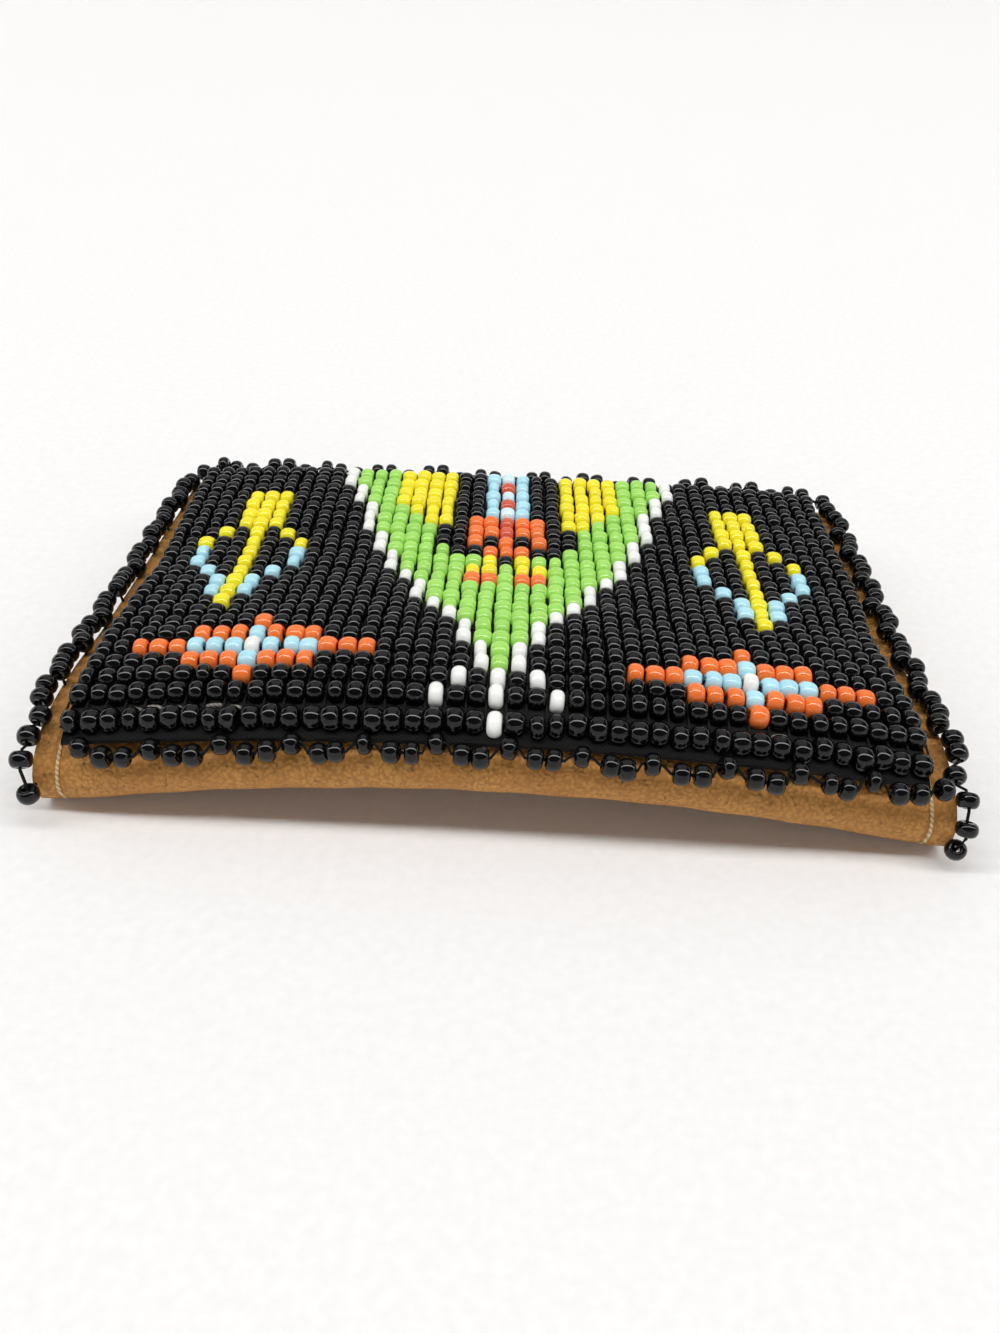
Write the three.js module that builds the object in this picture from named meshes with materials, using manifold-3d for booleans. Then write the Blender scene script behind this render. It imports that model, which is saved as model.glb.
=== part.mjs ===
// Beaded coin purse, lying on its back with the beaded face up.
// One strip of leather is folded at the near edge (-Y) and sewn up both sides; a zip closes the mouth (+Y).
// A loom-woven panel of seed beads covers the front, with a picot edging of beads on all four sides.
// Millimetres, +Z up, origin at the bottom centre of the whole purse.
import * as THREE from 'three';
import { mergeVertices } from 'three/addons/utils/BufferGeometryUtils.js';
import Module from 'manifold-3d';

// Leather strip
const LEATHER_WIDTH = 89.6;
const LEATHER_DEPTH = 57.8;
const LEATHER_THICK = 1.2;
// How the filled pouch stands: the near edge arches up in the middle, the sides lift to the seams, and each
// side draws in by the taper towards the mouth
const ARCH_RISE = 4.2;
const ARCH_LENGTH = 28;
const SIDE_LIFT = 4.2;
const MOUTH_TAPER = 1;
const FLAT_HALF_WIDTH = 24;
const MOUTH_HEIGHT = 8.6;
const NEAR_HEIGHT = 7.2;
const FOLD_END_HEIGHT = 8.3;
const SEAM_GAP = 0.4;
// Near fold: how far it reaches back along the top and underneath, and where its nose lies
const FOLD_OVER = 9.7;
const FOLD_UNDER = 3.5;
const NOSE_SHARE = 0.42;
// Side seams
const SEAM_INSET = 2.3;
const GROOVE_HALF_WIDTH = 0.6;
const GROOVE_DEPTH = 0.65;
const THREAD_RADIUS = 0.2;
const THREAD_SINK = 0.22;
// The row of stitching that holds the zip, in from the mouth
const STITCH_INSET = 4;
// Seed beads and their weave
const BEAD_DIAMETER = 2.25;
const BEAD_LENGTH = 1.65;
const COLUMN_PITCH = 1.95;
const ROW_PITCH = 2.4;
const LAST_ROW_GAP = 0.8;
const PANEL_SIDE_MARGIN = 2.6;
const PANEL_FRONT_SETBACK = 3;
const PANEL_GAP = 0.4;
const PANEL_FAR_DROP = 1.1;
const PANEL_NEAR_DROP = 2.6;
const WEAVE_THICK = 0.9;
const CROWN_SHARE = 0.36;
// Picot edging
const PICOT_REPEAT = 6.8;
const SIDE_REPEAT = 5.6;
const PICOT_THREAD_RADIUS = 0.25;
const BEAD_GAP = 0.25;
const ARCH_SPREAD = 0.95;
const PICOT_RISE = 1.6;
const SIDE_RISE = 0.9;
const SIDE_LEAN = THREE.MathUtils.degToRad(100);
const LEAN_LENGTH = 12;
const PICOT_LIFT = 0.35;
const CORNER_LIFT = 0.9;
const CORNER_REACH = 0.3;
// Zip
const TAPE_THICK = 0.45;
const TAPE_REACH = 8;
const TAPE_GAP = 0.15;
const TOOTH_PITCH = 2.2;
const TOOTH_WIDTH = 1.1;
const TOOTH_LENGTH = 1.35;
const TOOTH_THICK = 1.4;
const CHAIN_SLIT = 0.5;
const CHAIN_OUT = 2;
const CHAIN_RISE = 0.1;
const STOP_LENGTH = 1.6;
const STOP_THICK = 2.4;
const SLIDER_LENGTH = 7;
const SLIDER_PLATE = 0.6;
const SLIDER_CLEARANCE = 0.2;
const SLIDER_LIP = 0.35;
const BAIL_LENGTH = 4.2;
const BAIL_WIDTH = 1.2;
const BAIL_OPENING = 1.3;
const BAIL_BAR = 0.6;
const TAB_LENGTH = 17;
const TAB_WIDTH = 4.4;
const TAB_THICK = 0.8;

const HALF_WIDTH = LEATHER_WIDTH / 2;
const MOUTH_Y = LEATHER_DEPTH / 2;
const NOSE_Y = -LEATHER_DEPTH / 2;
const ARCH_FULL_Y = NOSE_Y + FOLD_OVER;
const SEAM_X = HALF_WIDTH - SEAM_INSET;
const SEAM_HEIGHT = 2 * LEATHER_THICK + SEAM_GAP;
const BEAD_RADIUS = BEAD_DIAMETER / 2;
const SIDES = [['left', -1], ['right', 1]];

const wasm = await Module();
wasm.setup();
const clamp = THREE.MathUtils.clamp;
const mix = THREE.MathUtils.lerp;
const range = (count, make) => Array.from({ length: count }, (_, i) => make(i));

// 0 over the far part of the purse, 1 at the near fold
function nearness(y) {
  return THREE.MathUtils.smoothstep(ARCH_FULL_Y + ARCH_LENGTH - y, 0, ARCH_LENGTH);
}

// 0 where the side seams are shut, 1 at the open end of the fold
function seamOpening(y) {
  return nearness(y) ** 3;
}

// 0 over the flat middle, 1 from the side seams outwards
function sideness(x) {
  return clamp((Math.abs(x) - FLAT_HALF_WIDTH) / (SEAM_X - FLAT_HALF_WIDTH), 0, 1) ** 3;
}

// Share of the full width at y
function taper(y) {
  return 1 - (MOUTH_TAPER / HALF_WIDTH) * (1 - nearness(y));
}

function archShare(x) {
  return 1 - Math.min(1, (x / SEAM_X) ** 2);
}

function bottomZ(x, y) {
  return ARCH_RISE * archShare(x) * nearness(y) + SIDE_LIFT * sideness(x) * (1 - seamOpening(y));
}

function topZ(x, y) {
  const middle = mix(MOUTH_HEIGHT, NEAR_HEIGHT, nearness(y));
  const seam = mix(SEAM_HEIGHT, FOLD_END_HEIGHT, seamOpening(y));
  return bottomZ(x, y) + mix(middle, seam, sideness(x));
}

// Height of the fold's nose at x
function noseZ(x) {
  return bottomZ(x, ARCH_FULL_Y) + NOSE_SHARE * (topZ(x, ARCH_FULL_Y) - bottomZ(x, ARCH_FULL_Y));
}

// A point on the top of the near fold, at an angle from its crown (0) to its nose (90 degrees)
function foldPoint(x, angle, inset = 0) {
  const nose = noseZ(x);
  const y = ARCH_FULL_Y - (FOLD_OVER - inset) * Math.sin(angle);
  return new THREE.Vector3(x, y, nose + (topZ(x, ARCH_FULL_Y) - inset - nose) * Math.cos(angle));
}

// Points from the mouth to the fold: the mouth edge, the stitching groove, then even steps
const STITCH_Y = MOUTH_Y - STITCH_INSET;
function stepsFromMouth(end, count) {
  const groove = [STITCH_Y + GROOVE_HALF_WIDTH, STITCH_Y, STITCH_Y - GROOVE_HALF_WIDTH];
  return [MOUTH_Y, ...groove, ...range(count, (i) => mix(groove[2], end, (i + 1) / count))];
}

// The folded strip's outline at x, from the back mouth round the fold to the front mouth
const UNDER_Y = NOSE_Y + FOLD_UNDER;
const BACK_YS = stepsFromMouth(UNDER_Y, 8);
const FRONT_YS = stepsFromMouth(ARCH_FULL_Y, 7).reverse();
const UNDER_STEPS = 3;
const OVER_STEPS = 5;
function outline(x, inset) {
  const points = BACK_YS.map((y) => new THREE.Vector3(x * taper(y), y, bottomZ(x, y) + inset));
  const nose = noseZ(x);
  const drop = nose - bottomZ(x, UNDER_Y) - inset;
  for (let i = 1; i <= UNDER_STEPS; i++) {
    const angle = (i / UNDER_STEPS) * Math.PI / 2;
    const y = UNDER_Y - (FOLD_UNDER - inset) * Math.sin(angle);
    points.push(new THREE.Vector3(x, y, nose - drop * Math.cos(angle)));
  }
  for (let i = OVER_STEPS - 1; i > 0; i--) {
    points.push(foldPoint(x, (i / OVER_STEPS) * Math.PI / 2, inset));
  }
  points.push(...FRONT_YS.map((y) => new THREE.Vector3(x * taper(y), y, topZ(x, y) - inset)));
  return points;
}

// Collects triangles, each with one colour if the piece has several
class Faces {
  positions = [];
  colors = [];
  triangle(a, b, c, color) {
    for (const p of [a, b, c]) {
      this.positions.push(p.x, p.y, p.z);
      if (color) this.colors.push(color.r, color.g, color.b);
    }
  }
  quad(a, b, c, d, color) {
    this.triangle(a, b, c, color);
    this.triangle(a, c, d, color);
  }
  geometry() {
    const made = new THREE.BufferGeometry();
    made.setAttribute('position', new THREE.Float32BufferAttribute(this.positions, 3));
    if (this.colors.length) made.setAttribute('color', new THREE.Float32BufferAttribute(this.colors, 3));
    made.computeVertexNormals();
    return made;
  }
}

// A closed sheet between two grids of points of the same size
function sheetGeometry(outer, inner) {
  const faces = new Faces();
  const rows = outer.length - 1;
  const steps = outer[0].length - 1;
  for (let i = 0; i < rows; i++) {
    for (let j = 0; j < steps; j++) {
      faces.quad(outer[i][j], outer[i + 1][j], outer[i + 1][j + 1], outer[i][j + 1]);
      faces.quad(inner[i][j], inner[i][j + 1], inner[i + 1][j + 1], inner[i + 1][j]);
    }
    faces.quad(outer[i][0], inner[i][0], inner[i + 1][0], outer[i + 1][0]);
    faces.quad(outer[i][steps], outer[i + 1][steps], inner[i + 1][steps], inner[i][steps]);
  }
  for (let j = 0; j < steps; j++) {
    faces.quad(outer[0][j], outer[0][j + 1], inner[0][j + 1], inner[0][j]);
    faces.quad(outer[rows][j], inner[rows][j], inner[rows][j + 1], outer[rows][j + 1]);
  }
  return faces.geometry();
}

// A closed round string through stations {center, radius}, with its section kept square to its path
const STRING_SIDES = 6;
function stringGeometry(stations, facing) {
  const faces = new Faces();
  const rings = stations.map(({ center, radius }, i) => {
    const before = stations[Math.max(0, i - 1)].center;
    const after = stations[Math.min(stations.length - 1, i + 1)].center;
    const along = after.clone().sub(before).normalize();
    const across = new THREE.Vector3().crossVectors(along, facing).normalize();
    const up = new THREE.Vector3().crossVectors(across, along);
    return range(STRING_SIDES, (k) => {
      const turn = (k / STRING_SIDES) * 2 * Math.PI;
      const spoke = across.clone().multiplyScalar(Math.cos(turn)).addScaledVector(up, Math.sin(turn));
      return center.clone().addScaledVector(spoke, radius);
    });
  });
  for (let i = 0; i < rings.length - 1; i++) {
    for (let k = 0; k < STRING_SIDES; k++) {
      const next = (k + 1) % STRING_SIDES;
      faces.quad(rings[i][k], rings[i + 1][k], rings[i + 1][next], rings[i][next]);
    }
  }
  const last = rings.length - 1;
  for (let k = 0; k < STRING_SIDES; k++) {
    const next = (k + 1) % STRING_SIDES;
    faces.triangle(stations[0].center, rings[0][k], rings[0][next]);
    faces.triangle(stations[last].center, rings[last][next], rings[last][k]);
  }
  return faces.geometry();
}

// Joining and cutting of solids
function solidOf(geometry) {
  const bare = new THREE.BufferGeometry();
  const source = geometry.index ? geometry.toNonIndexed() : geometry;
  bare.setAttribute('position', source.getAttribute('position'));
  const merged = mergeVertices(bare, 1e-4);
  const vertProperties = merged.attributes.position.array;
  const triVerts = new Uint32Array(merged.index.array);
  return new wasm.Manifold(new wasm.Mesh({ numProp: 3, vertProperties, triVerts }));
}

function geometryOf(solid) {
  const mesh = solid.getMesh();
  const made = new THREE.BufferGeometry();
  made.setAttribute('position', new THREE.BufferAttribute(new Float32Array(mesh.vertProperties), 3));
  made.setIndex(new THREE.BufferAttribute(new Uint32Array(mesh.triVerts), 1));
  return made;
}

function joined(geometries) {
  return geometryOf(geometries.map(solidOf).reduce((all, next) => all.add(next)));
}

function box(x0, x1, y0, y1, z0, z1) {
  const made = new THREE.BoxGeometry(x1 - x0, y1 - y0, z1 - z0);
  return made.translate((x0 + x1) / 2, (y0 + y1) / 2, (z0 + z1) / 2);
}

const purse = new THREE.Group();
function piece(name, geometry, color, roughness, metalness = 0) {
  const material = new THREE.MeshStandardMaterial({ color, roughness, metalness });
  material.vertexColors = geometry.hasAttribute('color');
  const mesh = new THREE.Mesh(geometry, material);
  mesh.name = name;
  purse.add(mesh);
}

// Leather body: one strip, with a shallow groove where each row of stitching lies
const TAN = '#b57b3e';
const leatherColumns = [0, 7, 14, 21, 24, 28.5, 32, 35, 37.5, 39.5].map((x) => (x / 42.2) * SEAM_X);
leatherColumns.push(SEAM_X - GROOVE_HALF_WIDTH, SEAM_X, SEAM_X + GROOVE_HALF_WIDTH, HALF_WIDTH);
const leatherX = [...leatherColumns.slice(1).map((x) => -x).reverse(), ...leatherColumns];
const leatherOuter = leatherX.map((x) => outline(x, Math.abs(x) === SEAM_X ? GROOVE_DEPTH : 0));
const atStitches = BACK_YS.indexOf(STITCH_Y);
leatherOuter.forEach((line, i) => {
  if (Math.abs(leatherX[i]) === SEAM_X) return;
  line[atStitches].z += GROOVE_DEPTH;
  line[line.length - 1 - atStitches].z -= GROOVE_DEPTH;
});
const leatherInner = leatherX.map((x) => outline(x, LEATHER_THICK));
piece('leather_body', sheetGeometry(leatherOuter, leatherInner), TAN, 0.6);

// Seam threads: from the back mouth along the seam, round the fold and along the front to the mouth
for (const [side, sign] of SIDES) {
  const stations = outline(sign * SEAM_X, THREAD_SINK).map((center) => ({ center, radius: THREAD_RADIUS }));
  piece(`${side}_seam_thread`, stringGeometry(stations, new THREE.Vector3(1, 0, 0)), '#d8b98a', 0.7);
}

// Beaded panel: bead rows run across X, the warp threads lie along Y between the bead columns
const COLUMNS = 2 * Math.round(((LEATHER_WIDTH - 2 * PANEL_SIDE_MARGIN) / COLUMN_PITCH - 1) / 2) + 1;
const FIRST_ROW_Y = MOUTH_Y - BEAD_RADIUS;
const ROWS = 1 + Math.floor((FIRST_ROW_Y - NOSE_Y - PANEL_FRONT_SETBACK - LAST_ROW_GAP) / ROW_PITCH);
const MIDDLE_COLUMN = (COLUMNS - 1) / 2;
const PANEL_HALF_WIDTH = (COLUMNS / 2) * COLUMN_PITCH;

// The front's centre line, which the panel follows: along the top and down over the fold
function crownZ(y) {
  if (y >= ARCH_FULL_Y) return topZ(0, y);
  return foldPoint(0, Math.asin(Math.min(1, (ARCH_FULL_Y - y) / FOLD_OVER))).z;
}

// Height of the panel's underside: it stays flatter than the leather and stands off it towards the sides
function panelZ(x, y) {
  const out = Math.abs(x) / PANEL_HALF_WIDTH;
  return crownZ(y) + PANEL_GAP - mix(PANEL_FAR_DROP * out ** 4, PANEL_NEAR_DROP * out ** 2, nearness(y));
}

// Edges between the bead rows, a pitch apart along the surface; the last row is set off by a gap
const rowEdges = [FIRST_ROW_Y + ROW_PITCH / 2];
const rowCenters = [];
for (let row = 0; row < ROWS; row++) {
  const y = rowEdges[row];
  const step = row < ROWS - 1 ? ROW_PITCH : ROW_PITCH + LAST_ROW_GAP;
  const fall = Math.min(0, crownZ(y - step) - crownZ(y));
  rowEdges.push(y - Math.sqrt(step ** 2 - fall ** 2));
  rowCenters.push(mix(rowEdges[row + 1], y, ROW_PITCH / 2 / step));
}

// Bead colours by column from the middle and row from the far edge
const COLORS = Object.fromEntries(Object.entries({
  black: '#0b0b0d', green: '#8fd050', white: '#f4f4f0', yellow: '#f5d722',
  orange: '#f07030', red: '#e04a30', blue: '#9fdcee', pale: '#cfeaf4',
}).map(([name, hex]) => [name, new THREE.Color(hex)]));

// The white stepped border of the triangle: rows it takes in each column, from its far corner to the apex.
// The middle column of the triangle, from the far edge
const BORDER_STEPS = [2, 2, 3, 2, 2, 1, 2, 1, 1, 2, 2, 3];
const MIDDLE = ['pale', 'red', 'pale', 'red', 'pale', 'red', 'red', 'orange', 'orange', 'black'];
function borderColumn(row) {
  let column = BORDER_STEPS.length - 1;
  let end = 0;
  for (const rows of BORDER_STEPS) {
    end += rows;
    if (row <= end) return column;
    column -= 1;
  }
  return -1;
}

function triangleColor(out, row) {
  if (out >= 4 && out <= 7 && row <= Math.min(6, 11 - out)) return 'yellow';
  if (out === 4 && (row === 7 || row === 8)) return 'black';
  if (out === 3 && row <= 9) return 'black';
  if (out === 0 && row <= MIDDLE.length) return MIDDLE[row - 1];
  if (out === 1 && row <= 5) return 'blue';
  if (out === 1 && row <= 9) return row === 8 ? 'black' : 'orange';
  if (out === 2 && row <= 5) return 'black';
  if (out === 2 && row <= 9) return row === 9 ? 'black' : 'orange';
  if (out === 2 && row === 10) return 'green';
  if (out >= 1 && out <= 2 && row <= 12) return row === 12 ? 'orange' : 'yellow';
  return 'green';
}

// A leaf: a head three beads wide, a stem, and arms that spread and close again
const LEAVES = [-16, 15];
function leafColor(out, row) {
  if (out <= 1 && row >= 4 && row <= 7) return 'yellow';
  if (out === 0 && row >= 8 && row <= 15) return 'yellow';
  if ((out === 2 && row === 8) || (out === 3 && row === 9)) return 'yellow';
  if (out === 3 && (row === 10 || row === 11)) return 'blue';
  if (out === 2 && row === 12) return 'blue';
  return out === 1 && (row === 13 || row === 14) ? 'blue' : null;
}

// A flat star: a long row with shorter rows beside it
const STARS = [[-13, 19], [13, 20]];
function starColor(out, away) {
  if (away === 0 && out <= 6) return out === 0 ? 'white' : out <= 3 ? 'blue' : 'orange';
  if (away === 1 && out <= 3) return out === 0 ? 'blue' : 'orange';
  return away === 2 && out === 0 ? 'orange' : null;
}

function beadColor(column, row) {
  const out = Math.abs(column);
  const border = borderColumn(row);
  if (out === border || (out === 2 && row === 21) || (out === 3 && row === 22)) return COLORS.white;
  if (out < border) return COLORS[triangleColor(out, row)];
  const leaf = LEAVES.map((middle) => leafColor(Math.abs(column - middle), row)).find(Boolean);
  const stars = STARS.map(([middle, at]) => starColor(Math.abs(column - middle), Math.abs(row - at)));
  return COLORS[leaf || stars.find(Boolean) || 'black'];
}

function panelGeometry() {
  const faces = new Faces();
  const at = (column, y, height) => {
    const x = (column - COLUMNS / 2) * COLUMN_PITCH;
    return new THREE.Vector3(x, y, panelZ(x, y) + height);
  };
  const top = range(COLUMNS + 1, (i) => rowEdges.map((y) => at(i, y, WEAVE_THICK)));
  for (let i = 0; i < COLUMNS; i++) {
    for (let j = 0; j < ROWS; j++) {
      const color = beadColor(i - MIDDLE_COLUMN, j + 1);
      const rim = [top[i][j], top[i][j + 1], top[i + 1][j + 1], top[i + 1][j]];
      const crown = [[-1, 1], [-1, -1], [1, -1], [1, 1]].map(([dx, dy]) => {
        const y = rowCenters[j] + dy * CROWN_SHARE * BEAD_RADIUS;
        return at(i + 0.5 + dx * CROWN_SHARE * BEAD_LENGTH / COLUMN_PITCH, y, BEAD_DIAMETER);
      });
      for (let k = 0; k < 4; k++) {
        const next = (k + 1) % 4;
        faces.quad(rim[k], rim[next], crown[next], crown[k], color);
      }
      faces.quad(...crown, color);
    }
  }
  // The flat underside has fewer points, so its edges are stitched to the finer edges of the weave
  const stepsX = 14;
  const underRows = rowEdges.filter((_, j) => j % 2 === 0 || j === ROWS);
  const under = range(stepsX + 1, (i) => underRows.map((y) => at((i / stepsX) * COLUMNS, y, 0)));
  const stepsY = underRows.length - 1;
  for (let i = 0; i < stepsX; i++) {
    for (let j = 0; j < stepsY; j++) {
      faces.quad(under[i][j], under[i + 1][j], under[i + 1][j + 1], under[i][j + 1], COLORS.black);
    }
  }
  const stitch = (upper, lower) => {
    let i = 0;
    let j = 0;
    while (i < upper.length - 1 || j < lower.length - 1) {
      const upperNext = (i + 1) / (upper.length - 1);
      const lowerNext = (j + 1) / (lower.length - 1);
      if (j === lower.length - 1 || (i < upper.length - 1 && upperNext <= lowerNext)) {
        faces.triangle(upper[i], lower[j], upper[i + 1], COLORS.black);
        i += 1;
      } else {
        faces.triangle(upper[i], lower[j], lower[j + 1], COLORS.black);
        j += 1;
      }
    }
  };
  const rowOf = (grid, j) => grid.map((line) => line[j]);
  stitch(top[0], under[0]);
  stitch(rowOf(top, ROWS), rowOf(under, stepsY));
  stitch([...top[COLUMNS]].reverse(), [...under[stepsX]].reverse());
  stitch(rowOf(top, 0).reverse(), rowOf(under, 0).reverse());
  return faces.geometry();
}
piece('beaded_panel', panelGeometry(), '#ffffff', 0.25);

// Picot edging: a base bead at the edge, then two beads in an arch that stands out from it, on one thread
function edgingGeometry(length, aim, facing, place) {
  const repeats = Math.floor((length - BEAD_LENGTH) / aim);
  const repeat = (length - BEAD_LENGTH) / repeats;
  const start = -(repeats * repeat) / 2;
  const stations = [];
  const bead = (s, arch) => {
    const half = BEAD_LENGTH / 2;
    stations.push({ center: place(s - half, arch), radius: PICOT_THREAD_RADIUS });
    stations.push({ center: place(s, arch), radius: BEAD_RADIUS });
    stations.push({ center: place(s + half, arch), radius: PICOT_THREAD_RADIUS });
  };
  for (let k = 0; k < repeats; k++) {
    bead(start + k * repeat, false);
    for (const side of [-1, 1]) bead(start + (k + 0.5) * repeat + side * ARCH_SPREAD, true);
  }
  bead(start + repeats * repeat, false);
  return stringGeometry(stations, facing);
}

const BLACK = '#0b0b0d';
const SEAT = BEAD_RADIUS + BEAD_GAP;

// Front edging hangs over the fold, below the last bead row; it follows the panel up and out at the corners
const BASE_ANGLE = THREE.MathUtils.degToRad(56);
const ARCH_ANGLE = THREE.MathUtils.degToRad(63);
function onFold(s, arch) {
  const angle = arch ? ARCH_ANGLE : BASE_ANGLE;
  const corner = (s / PANEL_HALF_WIDTH) ** 2;
  const surface = foldPoint(s, angle).add(new THREE.Vector3(0, -CORNER_REACH * corner, CORNER_LIFT * corner));
  const height = topZ(s, ARCH_FULL_Y) - noseZ(s);
  const normal = new THREE.Vector3(0, -Math.sin(angle) * height, Math.cos(angle) * FOLD_OVER).normalize();
  return surface.addScaledVector(normal, SEAT + (arch ? PICOT_LIFT : 0));
}
const EDGE_LENGTH = 2 * PANEL_HALF_WIDTH;
const UP = new THREE.Vector3(0, 0, 1);
piece('front_edging', edgingGeometry(EDGE_LENGTH, PICOT_REPEAT, UP, onFold), BLACK, 0.25);

// Back edging stands out from the front panel's mouth edge
function atMouth(s, arch) {
  const z = topZ(s / taper(MOUTH_Y), MOUTH_Y) - LEATHER_THICK + SEAT;
  return new THREE.Vector3(s, MOUTH_Y + SEAT + (arch ? PICOT_RISE : 0), z);
}
piece('back_edging', edgingGeometry(EDGE_LENGTH, PICOT_REPEAT, UP, atMouth), BLACK, 0.25);

// Side edging runs along the sewn edge and round the end of the fold. It starts beside the leather at the
// bottom, and along the edge it leans more and more on to the leather's outer face
function sideEdging(sign) {
  const edge = outline(sign * HALF_WIDTH, LEATHER_THICK / 2).slice(BACK_YS.length + UNDER_STEPS - 2);
  edge[0].z = Math.max(edge[0].z, BEAD_RADIUS + BEAD_GAP);
  const curve = new THREE.CatmullRomCurve3(edge);
  const length = curve.getLength() - BEAD_LENGTH;
  const place = (s, arch) => {
    const along = clamp((s + length / 2) / curve.getLength(), 0, 1);
    const tangent = curve.getTangentAt(along);
    const outward = new THREE.Vector3(0, -tangent.z, tangent.y);
    const lean = SIDE_LEAN * (1 - Math.exp(-along * curve.getLength() / LEAN_LENGTH));
    const p = curve.getPointAt(along).addScaledVector(outward, (SEAT + LEATHER_THICK / 2) * Math.sin(lean));
    p.x += sign * (SEAT * Math.cos(lean) + (arch ? SIDE_RISE : 0));
    return p;
  };
  return edgingGeometry(length, SIDE_REPEAT, new THREE.Vector3(1, 0, 0), place);
}
for (const [side, sign] of SIDES) piece(`${side}_edging`, sideEdging(sign), BLACK, 0.25);

// Zip: the chain runs along X just outside the mouth, halfway up it
const CHAIN_Y = MOUTH_Y + CHAIN_OUT;
const CHAIN_Z = MOUTH_HEIGHT / 2 + CHAIN_RISE;
const ROOT = CHAIN_SLIT / 2 + TOOTH_LENGTH;
const TAPE_EDGE = ROOT - TAPE_THICK / 2;
const SLIDER_HALF = ROOT + SLIDER_CLEARANCE + SLIDER_LIP;
// The zip ends where the lifting sides would leave the slider no room
const ZIP_ROOM = CHAIN_Z - SLIDER_HALF - LEATHER_THICK - 2 * TAPE_GAP - TAPE_THICK;
const ZIP_SHARE = Math.cbrt(clamp(ZIP_ROOM / SIDE_LIFT, 0, 1));
const ZIP_HALF = mix(FLAT_HALF_WIDTH, SEAM_X, ZIP_SHARE) * taper(MOUTH_Y);
const STEEL = '#b9b6ae';
const CLOTH = '#2a2622';

// A tape lies on the inside of the leather, comes out of the mouth and turns towards the chain
function tapeGeometry(sign) {
  const leatherFace = (x, y) => {
    const across = x / taper(y);
    return sign < 0 ? bottomZ(across, y) + LEATHER_THICK : topZ(across, y) - LEATHER_THICK;
  };
  const tapeX = [-1, -0.9, -0.8, -0.7, -0.35, 0, 0.35, 0.7, 0.8, 0.9, 1].map((share) => share * ZIP_HALF);
  const line = (x, lift) => {
    const flat = (y) => new THREE.Vector3(x, y, leatherFace(x, y) - sign * (TAPE_GAP + lift));
    const foot = flat(MOUTH_Y);
    const edge = new THREE.Vector3(x, CHAIN_Y + TAPE_THICK / 2 - lift, CHAIN_Z + sign * TAPE_EDGE);
    const bend = new THREE.Vector3(x, edge.y, foot.z);
    return [flat(MOUTH_Y - TAPE_REACH), flat(MOUTH_Y - TAPE_REACH / 2), foot, bend, edge];
  };
  const outside = tapeX.map((x) => line(x, 0));
  const inside = tapeX.map((x) => line(x, TAPE_THICK));
  if (sign < 0) [...outside, ...inside].forEach((l) => l.reverse());
  const strip = sheetGeometry(outside, inside);
  const count = Math.floor((2 * (ZIP_HALF - STOP_LENGTH) - TOOTH_PITCH) / TOOTH_PITCH);
  const teeth = range(count, (k) => {
    const x = (k - (count - 1) / 2) * TOOTH_PITCH + (sign * TOOTH_PITCH) / 4;
    const z = CHAIN_Z + sign * (CHAIN_SLIT / 2 + TOOTH_LENGTH / 2);
    return new THREE.BoxGeometry(TOOTH_WIDTH, TOOTH_THICK, TOOTH_LENGTH).translate(x, CHAIN_Y, z);
  });
  return joined([strip, ...teeth]);
}
piece('upper_zip_tape', tapeGeometry(1), CLOTH, 0.9);
piece('lower_zip_tape', tapeGeometry(-1), CLOTH, 0.9);

// Zip threads: a row of stitching along the mouth, through the leather and each tape
const stitchX = leatherX.filter((x) => Math.abs(x) <= ZIP_HALF);
const stitchRow = (height) => stitchX.map((x) => {
  const center = new THREE.Vector3(x * taper(STITCH_Y), STITCH_Y, height(x));
  return { center, radius: THREAD_RADIUS };
});
const upperStitches = stitchRow((x) => topZ(x, STITCH_Y) - THREAD_SINK);
const lowerStitches = stitchRow((x) => bottomZ(x, STITCH_Y) + THREAD_SINK);
piece('upper_zip_thread', stringGeometry(upperStitches, UP), '#d8b98a', 0.7);
piece('lower_zip_thread', stringGeometry(lowerStitches, UP), '#d8b98a', 0.7);

// Stops, pressed on the ends of the chain
function stopBox(x0, z0, z1) {
  return box(x0, x0 + STOP_LENGTH, CHAIN_Y - STOP_THICK / 2, CHAIN_Y + STOP_THICK / 2, z0, z1);
}
const STOP_EDGE = TAPE_EDGE - TAPE_GAP;
const TOP_X = ZIP_HALF - STOP_LENGTH;
piece('upper_top_stop', stopBox(TOP_X, CHAIN_Z + CHAIN_SLIT / 2, CHAIN_Z + STOP_EDGE), STEEL, 0.35, 1);
piece('lower_top_stop', stopBox(TOP_X, CHAIN_Z - STOP_EDGE, CHAIN_Z - CHAIN_SLIT / 2), STEEL, 0.35, 1);
piece('bottom_stop', stopBox(-ZIP_HALF, CHAIN_Z - STOP_EDGE, CHAIN_Z + STOP_EDGE), STEEL, 0.35, 1);

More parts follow.
